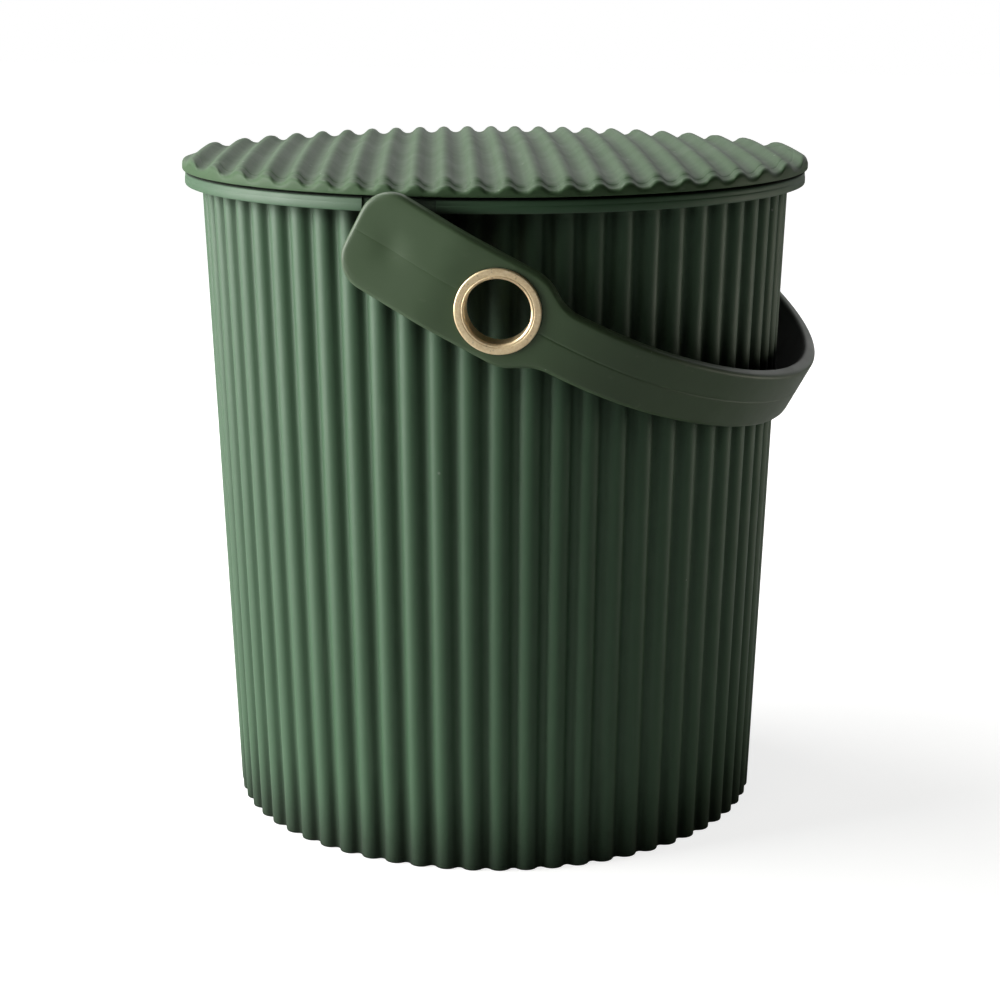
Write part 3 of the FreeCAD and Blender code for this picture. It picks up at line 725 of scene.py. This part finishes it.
def half_width(reach):
    """Half the strap's width where it has gone a distance out from the pivot."""
    paddle = PADDLE_WIDTH / 2
    grip = GRIP_WIDTH / 2
    behind = reach + PADDLE_END
    if behind < PADDLE_CORNER:
        short = PADDLE_CORNER - max(behind, 0)
        return paddle - PADDLE_CORNER + math.sqrt(PADDLE_CORNER ** 2 - short ** 2)
    first = SHOULDER_START + SHOULDER_LENGTH / 4
    last = SHOULDER_START + SHOULDER_LENGTH * 3 / 4
    slope = math.atan2(paddle - grip, last - first)
    touch = SHOULDER_ROUND * math.tan(slope / 2)
    if reach <= first - touch:
        return paddle
    if reach <= first + touch * math.cos(slope):
        away = reach - (first - touch)
        return paddle - SHOULDER_ROUND + math.sqrt(SHOULDER_ROUND ** 2 - away ** 2)
    if reach <= last - touch * math.cos(slope):
        return paddle - (reach - first) * math.tan(slope)
    if reach <= last + touch:
        away = last + touch - reach
        return grip + SHOULDER_ROUND - math.sqrt(SHOULDER_ROUND ** 2 - away ** 2)
    return grip


def strap_columns(path):
    """Distances along the strap, from the paddle's end to the middle of the grip."""
    columns = []
    for k in range(CORNER_STEPS + 1):
        turn = math.pi / 2 * k / CORNER_STEPS
        columns.append(-PADDLE_END + PADDLE_CORNER * (1 - math.cos(turn)))
    at = columns[-1] + CORNER_GAP
    while at < SHOULDER_START - SHOULDER_MARGIN:
        columns.append(at)
        at += PADDLE_STEP
    while at < SHOULDER_START + SHOULDER_LENGTH + SHOULDER_MARGIN:
        columns.append(at)
        at += SHOULDER_STEP
    rest = path["ends"][4] - at
    steps = int(rest / GRIP_STEP) + 1
    for k in range(steps + 1):
        columns.append(at + rest * k / steps)
    return columns


def edge_depth(distance):
    """How far the rounded long edges lie back at a distance inside the outline."""
    if distance >= EDGE_ROUND:
        return 0
    short = EDGE_ROUND - max(distance, 0)
    return EDGE_ROUND - math.sqrt(EDGE_ROUND ** 2 - short ** 2)


def outline_distance(reach, side_place):
    """Distance from a place on the strap to the nearest edge of its outline."""
    half = half_width(reach)
    behind = reach + PADDLE_END
    corner_side = PADDLE_WIDTH / 2 - PADDLE_CORNER
    if behind < PADDLE_CORNER and abs(side_place) > corner_side:
        gap = math.hypot(PADDLE_CORNER - behind, abs(side_place) - corner_side)
        return PADDLE_CORNER - gap
    straight = half - abs(side_place)
    if reach > SHOULDER_START - SHOULDER_MARGIN:
        near = SLOPE_REACH
        slope = (half_width(reach + near) - half_width(reach - near)) / (2 * near)
        straight *= math.cos(math.atan(slope))
    return min(straight, behind)


def strap_sides(half):
    """Places across the strap: close at the rounded edges and at the parting line."""
    turns = [math.pi / 2 * k / EDGE_STEPS for k in range(EDGE_STEPS + 1)]
    places = [half - EDGE_ROUND * (1 - math.cos(turn)) for turn in turns]
    places += [(half - EDGE_ROUND) * share for share in SIDE_SHARES]
    places += PART_LINE_PLACES
    return places + [0.0] + [-place for place in reversed(places)]


def outer_relief(reach, side_place):
    """Depth of the outer face's parting line and of the shallow sink over the socket."""
    relief = 0
    if abs(side_place) < PART_LINE_HALF:
        on_grip = min(max((reach - SHOULDER_START) / SHOULDER_LENGTH, 0), 1)
        line_depth = PADDLE_LINE_DEPTH + (GRIP_LINE_DEPTH - PADDLE_LINE_DEPTH) * on_grip
        relief += line_depth * (1 - abs(side_place) / PART_LINE_HALF)
    if reach < SINK_REACH:
        away = (reach ** 2 + side_place ** 2) / SINK_RADIUS ** 2
        relief += SINK_DEPTH * math.exp(-away)
    return relief


def strap_layer(path, columns, outer):
    """Points of the strap's outer or inner face over its whole length."""
    rows = []
    for along in columns:
        reach = place_on_path(path, along, STRAP_THICK / 2).x if along > 0 else along
        half = half_width(reach)
        row = []
        for side_place in strap_sides(half):
            back = edge_depth(outline_distance(reach, side_place))
            if outer:
                depth = back + outer_relief(reach, side_place)
            else:
                depth = STRAP_THICK - back
            spot = place_on_path(path, along, depth)
            row.append((spot.x, spot.y, side_place))
        rows.append(row)
    mirrored = [[(x, -y, z) for x, y, z in row] for row in rows[:-1]]
    return rows + mirrored[::-1]


def strap_mesh(path):
    """The strap as one closed skin, before its holes."""
    columns = strap_columns(path)
    outer = strap_layer(path, columns, True)
    inner = strap_layer(path, columns, False)
    points = [point for row in outer + inner for point in row]
    faces = []
    width = len(outer[0])
    length = len(outer)
    shift = width * length
    for i in range(length - 1):
        for j in range(width - 1):
            a = i * width + j
            faces.append((a, a + 1, a + width + 1, a + width))
            faces.append((a + shift, a + shift + width, a + shift + width + 1, a + shift + 1))
    for i in range(length - 1):
        for j in (0, width - 1):
            a = i * width + j
            faces.append((a, a + width, a + shift + width, a + shift))
    for i in (0, length - 1):
        for j in range(width - 1):
            a = i * width + j
            faces.append((a, a + 1, a + shift + 1, a + shift))
    return points, faces


def placed(points, frame):
    """Points carried into another frame."""
    return [tuple(frame @ Vector(point)) for point in points]


def rod(name, radius, low, high, frame, steps):
    """A cutting rod along its frame's Z."""
    points = [(x, y, height) for height in (low, high) for x, y in circle(radius, steps)]
    faces = ring_faces(0, 2, steps, False)
    faces.append(tuple(range(steps)))
    faces.append(tuple(range(2 * steps - 1, steps - 1, -1)))
    piece = new_piece(name, placed(points, frame), faces)
    outward_faces(piece)
    return piece


def eyelet_frame(path, side):
    """The outer facet's middle on one arm, with Z out of it, in the handle's frame."""
    middle = path["facet_middle"]
    outward = Vector((path["outward"].x, side * path["outward"].y, 0))
    turn = outward.to_track_quat("Z", "Y").to_matrix().to_4x4()
    return Matrix.Translation((middle.x, side * middle.y, 0)) @ turn


def pivot_frame(side):
    """The pivot on one side, with Z away from the bucket, in the handle's frame."""
    return Vector((0, side, 0)).to_track_quat("Z", "Y").to_matrix().to_4x4()


def cut_away(piece, tools):
    """Cuts closed tools out of a piece and removes them."""
    for tool in tools:
        change = piece.modifiers.new("cut", "BOOLEAN")
        change.operation = "DIFFERENCE"
        change.solver = "EXACT"
        change.object = tool
    bpy.context.view_layer.update()
    seen = piece.evaluated_get(bpy.context.evaluated_depsgraph_get())
    mesh = bpy.data.meshes.new_from_object(seen)
    piece.modifiers.clear()
    piece.data = mesh
    for tool in tools:
        bpy.data.objects.remove(tool)


def boss_points(side):
    """The socket boss inside one paddle, as a closed ring in the handle's frame."""
    root = STRAP_SPAN - STRAP_THICK + BOSS_SINK
    profile = [
        (SOCKET_RADIUS + 0.3, BOSS_FACE),
        (BOSS_RADIUS - 0.5, BOSS_FACE),
        (BOSS_RADIUS - 0.15, BOSS_FACE + 0.15),
        (BOSS_RADIUS, BOSS_FACE + 0.5),
        (BOSS_RADIUS, root),
        (SOCKET_RADIUS, root),
        (SOCKET_RADIUS, BOSS_FACE + 0.3),
    ]
    points, faces = turned_ring(profile, SOCKET_STEPS)
    return placed(points, pivot_frame(side)), faces


def join_skins(piece, skins):
    """Adds closed skins, in millimetres, to a piece's mesh."""
    shape = bmesh.new()
    shape.from_mesh(piece.data)
    for points, faces in skins:
        made = [shape.verts.new([c * MM for c in point]) for point in points]
        for face in faces:
            shape.faces.new([made[i] for i in face])
    bmesh.ops.recalc_face_normals(shape, faces=shape.faces)
    shape.to_mesh(piece.data)
    shape.free()


def move_to_rest(piece):
    """Carries a mesh from the handle's frame to the bucket's."""
    small = Matrix.Scale(MM, 4) @ handle_frame() @ Matrix.Scale(1 / MM, 4)
    piece.data.transform(small)
    piece.data.update()


def make_handle(path):
    """The strap with its eyelet holes and sockets."""
    points, faces = strap_mesh(path)
    piece = new_piece("strap", points, faces)
    outward_faces(piece)
    tools = []
    for name, side in (("near", -1), ("far", 1)):
        hole = ("hole_" + name, STRAP_HOLE, -STRAP_THICK - HOLE_SPARE, HOLE_SPARE)
        tools.append(rod(*hole, eyelet_frame(path, side), HOLE_STEPS))
        socket = ("socket_" + name, SOCKET_RADIUS, BOSS_FACE, SOCKET_END)
        tools.append(rod(*socket, pivot_frame(side), SOCKET_STEPS))
    cut_away(piece, tools)
    join_skins(piece, [boss_points(-1), boss_points(1)])
    move_to_rest(piece)
    smooth_by_angle(piece, HANDLE_SHARP)
    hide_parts("handle")
    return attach(piece, "handle_body")


# Eyelets

def eyelet_profile():
    """Section of one eyelet: back, barrel, seat, flange edge, grooved face and bevel."""
    face = EYELET_GAP + EYELET_THICK
    back = -(STRAP_THICK + WASHER_THICK + 4 * EYELET_GAP)
    outer = EYELET_BORE + EYELET_WALL
    return rounded_profile([
        (EYELET_BORE, back, 0.25),
        (outer, back, 0.25),
        (outer, EYELET_GAP, 0),
        (EYELET_FLANGE, EYELET_GAP, 0.1),
        (EYELET_FLANGE, face, EYELET_EDGE),
        (EYELET_LINE + EYELET_LINE_HALF, face, 0.08),
        (EYELET_LINE, face - EYELET_LINE_DEPTH, 0.06),
        (EYELET_LINE - EYELET_LINE_HALF, face, 0.08),
        (EYELET_BORE + EYELET_BEVEL, face, 0.2),
        (EYELET_BORE, face - EYELET_BEVEL, 0.3),
    ], EYELET_CORNER_STEPS)


def make_eyelet(path, name, side):
    """One metal eyelet, set in its arm."""
    points, faces = turned_ring(eyelet_profile(), EYELET_STEPS)
    points = placed(points, eyelet_frame(path, side))
    piece = new_piece("eyelet_ring_" + name, points, faces)
    outward_faces(piece)
    move_to_rest(piece)
    smooth_by_angle(piece, HANDLE_SHARP)
    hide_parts("eyelet_" + name)
    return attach(piece, "handle_body")


# Nodes, and the effects that more than one material shares

def new_group(name, inputs, outputs):
    """An empty node group whose sockets are given by name and kind."""
    group = bpy.data.node_groups.new(name, "ShaderNodeTree")
    add_socket = group.interface.new_socket
    for way, sockets in (("INPUT", inputs), ("OUTPUT", outputs)):
        for label, kind in sockets.items():
            add_socket(name=label, in_out=way, socket_type="NodeSocket" + kind)
    start = group.nodes.new("NodeGroupInput")
    end = group.nodes.new("NodeGroupOutput")
    return group, start, end


def node(tree, kind, values=None, **settings):
    """A node with its settings and its unlinked inputs."""
    made = tree.nodes.new(kind)
    for key, value in settings.items():
        setattr(made, key, value)
    for key, value in (values or {}).items():
        made.inputs[key].default_value = value
    return made


def link(tree, source, output, target, entry):
    """Joins two nodes' sockets."""
    tree.links.new(source.outputs[output], target.inputs[entry])


def compute(tree, operation, *terms, **settings):
    """A math node whose terms are numbers or (node, output) pairs."""
    made = node(tree, "ShaderNodeMath", operation=operation, **settings)
    for place, term in enumerate(terms):
        if isinstance(term, tuple):
            link(tree, *term, made, place)
        else:
            made.inputs[place].default_value = term
    return made


def moulded_group():
    """Slow cloudiness of a moulded plastic and the fine grain of its mould."""
    group, start, end = new_group("moulded_plastic", {
        "Base": "Color",
        "Pale": "Color",
        "Cloud Scale": "Float",
        "Cloud Amount": "Float",
        "Gloss Low": "Float",
        "Gloss High": "Float",
        "Grain Scale": "Float",
        "Grain Height": "Float",
    }, {"Colour": "Color", "Roughness": "Float", "Height": "Float"})
    place = node(group, "ShaderNodeTexCoord")
    clouds = node(group, "ShaderNodeTexNoise", {"Detail": 4.0, "Roughness": 0.6})
    link(group, place, "Object", clouds, "Vector")
    link(group, start, "Cloud Scale", clouds, "Scale")
    spread = node(group, "ShaderNodeMapRange", {"From Min": 0.3, "From Max": 0.72})
    link(group, clouds, "Fac", spread, "Value")
    amount = compute(group, "MULTIPLY", (spread, "Result"), (start, "Cloud Amount"))
    mix = node(group, "ShaderNodeMix", data_type="RGBA")
    link(group, amount, "Value", mix, "Factor")
    link(group, start, "Base", mix, MIX_UNDER)
    link(group, start, "Pale", mix, MIX_OVER)
    link(group, mix, MIX_RESULT, end, "Colour")
    gloss = node(group, "ShaderNodeTexNoise", {"Scale": 55.0, "Detail": 3.0, "Roughness": 0.65})
    link(group, place, "Object", gloss, "Vector")
    rough = node(group, "ShaderNodeMapRange", {"From Min": 0.3, "From Max": 0.7})
    link(group, gloss, "Fac", rough, "Value")
    link(group, start, "Gloss Low", rough, "To Min")
    link(group, start, "Gloss High", rough, "To Max")
    link(group, rough, "Result", end, "Roughness")
    grain = node(group, "ShaderNodeTexNoise", {"Detail": 2.0, "Roughness": 0.5})
    link(group, place, "Object", grain, "Vector")
    link(group, start, "Grain Scale", grain, "Scale")
    height = compute(group, "MULTIPLY", (grain, "Fac"), (start, "Grain Height"))
    link(group, height, "Value", end, "Height")
    return group


def speck_group():
    """Scattered small specks, such as dust on plastic or pits in metal."""
    sockets = {"Scale": "Float", "Size": "Float", "Share": "Float"}
    group, start, end = new_group("specks", sockets, {"Mask": "Float"})
    place = node(group, "ShaderNodeTexCoord")
    cells = node(group, "ShaderNodeTexVoronoi")
    link(group, place, "Object", cells, "Vector")
    link(group, start, "Scale", cells, "Scale")
    dots = compute(group, "LESS_THAN", (cells, "Distance"), (start, "Size"))
    parts = node(group, "ShaderNodeSeparateColor")
    link(group, cells, "Color", parts, "Color")
    chosen = compute(group, "LESS_THAN", (parts, "Red"), (start, "Share"))
    both = compute(group, "MULTIPLY", (dots, "Value"), (chosen, "Value"))
    link(group, both, "Value", end, "Mask")
    return group


def scuff_group():
    """Thin short scratches that run along one direction."""
    sockets = {"Stretch": "Vector", "Limit": "Float"}
    group, start, end = new_group("scuffs", sockets, {"Mask": "Float"})
    place = node(group, "ShaderNodeTexCoord")
    stretch = node(group, "ShaderNodeVectorMath", operation="MULTIPLY")
    link(group, place, "Object", stretch, 0)
    link(group, start, "Stretch", stretch, 1)
    lines = node(group, "ShaderNodeTexNoise", {"Scale": 1.0, "Detail": 3.0, "Roughness": 0.6})
    link(group, stretch, "Vector", lines, "Vector")
    over = compute(group, "SUBTRACT", (lines, "Fac"), (start, "Limit"))
    strong = compute(group, "MULTIPLY", (over, "Value"), SCUFF_CONTRAST, use_clamp=True)
    link(group, strong, "Value", end, "Mask")
    return group


def hollow_shade_group():
    """Where the surface lies in a narrow hollow, such as a valley or behind the strap: the mask
    of painted shade and of duller plastic there.
    """
    sockets = {"Reach": "Float", "Open": "Float", "Closed": "Float"}
    group, start, end = new_group("dull_shaded_hollows", sockets, {"Mask": "Float"})
    # Ambient occlusion finds the hollows where the materials paint shade.
    around = node(group, "ShaderNodeAmbientOcclusion", samples=8)
    link(group, start, "Reach", around, "Distance")
    mask = node(group, "ShaderNodeMapRange")
    link(group, around, "AO", mask, "Value")
    link(group, start, "Open", mask, "From Min")
    link(group, start, "Closed", mask, "From Max")
    link(group, mask, "Result", end, "Mask")
    return group


def new_material(name):
    """A material with a Principled shader."""
    material = bpy.data.materials.new(name)
    material.use_nodes = True
    tree = material.node_tree
    shader = tree.nodes["Principled BSDF"]
    return material, tree, shader


def use_group(tree, group, values):
    """Places a shared effect in a material with the material's own values."""
    return node(tree, "ShaderNodeGroup", values, node_tree=group)


def add_bump(tree, shader, source):
    """Feeds a height in metres to the shader's normal."""
    bump = node(tree, "ShaderNodeBump", {"Strength": 1.0, "Distance": 1.0})
    link(tree, source, "Height", bump, "Height")
    link(tree, bump, "Normal", shader, "Normal")


def tint(tree, under, effect, colour, share):
    """Mixes a colour over a (node, output) pair by a share of an effect's mask."""
    weak = compute(tree, "MULTIPLY", (effect, "Mask"), share)
    mix = node(tree, "ShaderNodeMix", {MIX_OVER: colour}, data_type="RGBA")
    link(tree, weak, "Value", mix, "Factor")
    link(tree, *under, mix, MIX_UNDER)
    return mix, MIX_RESULT


def plastic(name, groups, look):
    """A moulded plastic with cloudiness, grain, dust, light scuffs, and hollows that are duller
    and darkened by painted shade.
    """
    material, tree, shader = new_material(name)
    shader.inputs["Specular IOR Level"].default_value = look["specular"]
    moulded = use_group(tree, groups["moulded"], look["moulded"])
    dust = use_group(tree, groups["specks"], look["dust"])
    scuffs = use_group(tree, groups["scuffs"], look["scuffs"])
    dull_shaded_hollows = use_group(tree, groups["dull_shaded_hollows"], look["dull_shaded_hollows"])
    clean = (moulded, "Colour")
    rubbed = tint(tree, clean, scuffs, look["scuff_colour"], look["scuff_share"])
    dusty = tint(tree, rubbed, dust, look["dust_colour"], look["dust_share"])
    # Painted shade: the colour darkens towards a near black green in hollows.
    shaded = tint(tree, dusty, dull_shaded_hollows, look["painted_shade_colour"], 1.0)
    link(tree, *shaded, shader, "Base Color")
    dull = compute(tree, "MULTIPLY", (dull_shaded_hollows, "Mask"), HOLLOW_ROUGHNESS)
    rough = compute(tree, "ADD", (moulded, "Roughness"), (dull, "Value"), use_clamp=True)
    link(tree, rough, "Value", shader, "Roughness")
    add_bump(tree, shader, moulded)
    return material


def bucket_plastic(groups):
    """Deep green satin plastic of the wall and rim."""
    return plastic("bucket_green", groups, {
        "specular": 0.5,
        "moulded": {
            "Base": (0.035, 0.088, 0.041, 1),
            "Pale": (0.045, 0.100, 0.051, 1),
            "Cloud Scale": 14.0,
            "Cloud Amount": 0.35,
            "Gloss Low": 0.50,
            "Gloss High": 0.57,
            "Grain Scale": 1400.0,
            "Grain Height": 0.000012,
        },
        # Painted shade: hollows darken towards this near black green.
        "dull_shaded_hollows": {"Reach": 0.055, "Open": 0.78, "Closed": 0.42},
        "painted_shade_colour": (0.004, 0.012, 0.004, 1),
        "dust": {"Scale": 90.0, "Size": 0.05, "Share": 0.12},
        "dust_share": 0.35,
        "dust_colour": (0.30, 0.33, 0.29, 1),
        "scuffs": {"Stretch": (260.0, 260.0, 14.0), "Limit": 0.66},
        "scuff_share": 0.12,
        "scuff_colour": (0.16, 0.20, 0.15, 1),
    })


def lid_plastic(groups):
    """Green satin plastic of the lid, duller and a little dustier than the bucket's."""
    return plastic("lid_green", groups, {
        "specular": 0.2,
        "moulded": {
            "Base": (0.045, 0.088, 0.040, 1),
            "Pale": (0.060, 0.102, 0.050, 1),
            "Cloud Scale": 16.0,
            "Cloud Amount": 0.4,
            "Gloss Low": 0.48,
            "Gloss High": 0.57,
            "Grain Scale": 1300.0,
            "Grain Height": 0.000014,
        },
        # Painted shade: grooves darken towards this dark green.
        "dull_shaded_hollows": {"Reach": 0.01, "Open": 0.6, "Closed": 0.2},
        "painted_shade_colour": (0.010, 0.018, 0.009, 1),
        "dust": {"Scale": 110.0, "Size": 0.06, "Share": 0.3},
        "dust_share": 0.5,
        "dust_colour": (0.40, 0.43, 0.38, 1),
        "scuffs": {"Stretch": (130.0, 40.0, 130.0), "Limit": 0.64},
        "scuff_share": 0.2,
        "scuff_colour": (0.20, 0.24, 0.19, 1),
    })


def handle_plastic(groups):
    """Matte olive green plastic of the strap."""
    return plastic("handle_olive", groups, {
        "specular": 0.4,
        "moulded": {
            "Base": (0.045, 0.078, 0.036, 1),
            "Pale": (0.058, 0.094, 0.046, 1),
            "Cloud Scale": 22.0,
            "Cloud Amount": 0.4,
            "Gloss Low": 0.42,
            "Gloss High": 0.50,
            "Grain Scale": 1500.0,
            "Grain Height": 0.00002,
        },
        # Painted shade: hollows darken towards this near black olive.
        "dull_shaded_hollows": {"Reach": 0.06, "Open": 0.8, "Closed": 0.45},
        "painted_shade_colour": (0.006, 0.010, 0.005, 1),
        "dust": {"Scale": 160.0, "Size": 0.05, "Share": 0.2},
        "dust_share": 0.3,
        "dust_colour": (0.3, 0.33, 0.27, 1),
        "scuffs": {"Stretch": (60.0, 320.0, 320.0), "Limit": 0.66},
        "scuff_share": 0.12,
        "scuff_colour": (0.17, 0.2, 0.14, 1),
    })


def eyelet_metal(groups):
    """Satin pale brass with fine darker pits."""
    material, tree, shader = new_material("pale_brass")
    shader.inputs["Metallic"].default_value = 1.0
    moulded = use_group(tree, groups["moulded"], {
        "Base": (0.80, 0.62, 0.37, 1),
        "Pale": (0.95, 0.80, 0.56, 1),
        "Cloud Scale": 1100.0,
        "Cloud Amount": 1.0,
        "Gloss Low": 0.42,
        "Gloss High": 0.58,
        "Grain Scale": 2400.0,
        "Grain Height": 0.00003,
    })
    pits = use_group(tree, groups["specks"], {"Scale": 800.0, "Size": 0.3, "Share": 0.2})
    pitted = tint(tree, (moulded, "Colour"), pits, PIT_COLOUR, PIT_SHARE)
    link(tree, *pitted, shader, "Base Color")
    link(tree, moulded, "Roughness", shader, "Roughness")
    add_bump(tree, shader, moulded)
    return material


def dress(piece, material):
    """Gives a piece one material."""
    piece.data.materials.clear()
    piece.data.materials.append(material)


# Floor, light and camera

def mixed(tree, source, output, first, second):
    """Mixes two shaders by a value: 0 gives the first and 1 the second."""
    mix = node(tree, "ShaderNodeMixShader")
    link(tree, source, output, mix, "Fac")
    link(tree, first, 0, mix, 1)
    link(tree, second, 0, mix, 2)
    return mix


def added(tree, first, second):
    """Adds the light of two shaders."""
    both = node(tree, "ShaderNodeAddShader")
    link(tree, first, 0, both, 0)
    link(tree, second, 0, both, 1)
    return both


def ray_choice(tree, kinds, others, shown):
    """Shows rays of the named kinds one shader and all other rays another."""
    light_path = node(tree, "ShaderNodeLightPath")
    for kind in kinds:
        others = mixed(tree, light_path, kind, others, shown)
    return others


def fade(tree, source, output, span):
    """A soft step from 0 to 1 as a value passes over a span."""
    ends = {"From Min": span[0], "From Max": span[1]}
    step = node(tree, "ShaderNodeMapRange", ends, interpolation_type="SMOOTHSTEP")
    link(tree, source, output, step, "Value")
    return step


def glow(tree, kind, strength, colour=(1, 1, 1, 1)):
    """A shader of plain light, for a surface or for the world."""
    return node(tree, kind, {"Color": colour, "Strength": strength})


def floor_white():
    """A matte floor that the camera sees lit up to plain white away from the object."""
    material = bpy.data.materials.new("floor_white")
    material.use_nodes = True
    tree = material.node_tree
    tree.nodes.clear()
    out = node(tree, "ShaderNodeOutputMaterial")
    matte = node(tree, "ShaderNodeBsdfDiffuse", {"Color": FLOOR_GREY})
    near = glow(tree, "ShaderNodeEmission", FLOOR_NEAR)
    far = glow(tree, "ShaderNodeEmission", 1.0)
    place = node(tree, "ShaderNodeNewGeometry")
    reach = node(tree, "ShaderNodeVectorMath", operation="LENGTH")
    link(tree, place, "Position", reach, 0)
    white = mixed(tree, fade(tree, reach, "Value", FLOOR_FADE), "Result", near, far)
    bright = added(tree, matte, white)
    dim = added(tree, matte, glow(tree, "ShaderNodeEmission", FLOOR_BOUNCE))
    shown = ray_choice(tree, ["Is Camera Ray"], dim, bright)
    link(tree, shown, 0, out, "Surface")
    return material


def make_floor():
    """A plain pale floor."""
    signs = ((-1, -1), (1, -1), (1, 1), (-1, 1))
    points = [(x * FLOOR_HALF, y * FLOOR_HALF, 0) for x, y in signs]
    floor = new_piece("floor", points, [(0, 1, 2, 3)])
    floor.location.z = -FLOOR_GAP * MM
    dress(floor, floor_white())


def make_world():
    """A dim room with a backdrop behind the object, plain white to the camera and in shine."""
    world = bpy.data.worlds.new("studio")
    bpy.context.scene.world = world
    world.use_nodes = True
    tree = world.node_tree
    tree.nodes.clear()
    out = node(tree, "ShaderNodeOutputWorld")
    front = glow(tree, "ShaderNodeBackground", ROOM_LIGHT, ROOM_COLOUR)
    back = glow(tree, "ShaderNodeBackground", BACKDROP_LIGHT)
    white = glow(tree, "ShaderNodeBackground", 1.0)
    way = node(tree, "ShaderNodeTexCoord")
    ahead = from_camera(0, 1, 0) / MM
    facing = node(tree, "ShaderNodeVectorMath", {1: ahead}, operation="DOT_PRODUCT")
    link(tree, way, "Generated", facing, 0)
    behind = fade(tree, facing, "Value", BACKDROP_EDGE)
    room = mixed(tree, behind, "Result", front, back)
    mirrored = mixed(tree, behind, "Result", front, white)
    unseen = ray_choice(tree, ["Is Glossy Ray", "Is Transmission Ray"], room, mirrored)
    shown = ray_choice(tree, ["Is Camera Ray"], unseen, white)
    link(tree, shown, 0, out, "Surface")


def from_camera(right, away, up):
    """A place in metres from the photograph's view: right, away from the camera and up."""
    x = right * math.cos(CAMERA_TURN) - away * math.sin(CAMERA_TURN)
    y = right * math.sin(CAMERA_TURN) + away * math.cos(CAMERA_TURN)
    return Vector((x, y, up)) * MM


def area_light(name, place, aim, size, power, colour):
    """A soft rectangular lamp at a place, aimed at another, with its power in watts."""
    data = bpy.data.lights.new(name, "AREA")
    data.shape = "RECTANGLE"
    data.size = size[0] * MM
    data.size_y = size[1] * MM
    data.energy = power
    data.color = colour
    lamp = bpy.data.objects.new(name, data)
    lamp.location = from_camera(*place)
    toward = from_camera(*aim) - lamp.location
    lamp.rotation_euler = toward.to_track_quat("-Z", "Y").to_euler()
    bpy.context.scene.collection.objects.link(lamp)


def make_lights():
    """A large window on the left, a soft top light, a front fill and a low card on the right."""
    wall = (0, 0, 150)
    rim = (0, 0, 200)
    grip = (100, 0, 160)
    area_light("window", (-1500, -200, 520), wall, (1200, 1300), 60, (1.0, 1.0, 0.97))
    area_light("top", (-600, 500, 1400), rim, (700, 700), 15, (1.0, 1.0, 0.98))
    area_light("front", (-700, -1100, 1300), rim, (500, 500), 1.5, (1.0, 0.97, 0.80))
    area_light("card", (900, 120, 60), grip, (500, 300), 1.5, (1.0, 0.97, 0.82))


def make_camera():
    """The photograph's camera."""
    data = bpy.data.cameras.new("camera")
    data.sensor_width = SENSOR
    data.lens = LENS
    data.shift_x = LENS_SHIFT
    data.clip_end = CAMERA_FAR
    camera = bpy.data.objects.new("camera", data)
    camera.location = from_camera(0, -CAMERA_DISTANCE, CAMERA_HEIGHT)
    camera.rotation_euler = (math.pi / 2 - CAMERA_PITCH, 0, CAMERA_TURN)
    bpy.context.scene.collection.objects.link(camera)
    bpy.context.scene.camera = camera


# Build

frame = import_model()
bpy.context.scene.view_settings.view_transform = "Standard"

groups = {
    "moulded": moulded_group(),
    "specks": speck_group(),
    "scuffs": scuff_group(),
    "dull_shaded_hollows": hollow_shade_group(),
}
green = bucket_plastic(groups)
lid_green = lid_plastic(groups)
olive = handle_plastic(groups)
brass = eyelet_metal(groups)

dress(make_bucket(), green)
dress(make_lid(), lid_green)
strap_line = strap_path()
dress(make_handle(strap_line), olive)
for side_name, side_sign in (("near", -1), ("far", 1)):
    dress(make_eyelet(strap_line, side_name, side_sign), brass)
    dress(frame["nodes"]["eyelet_washer_" + side_name], brass)

make_floor()
make_world()
make_lights()
make_camera()
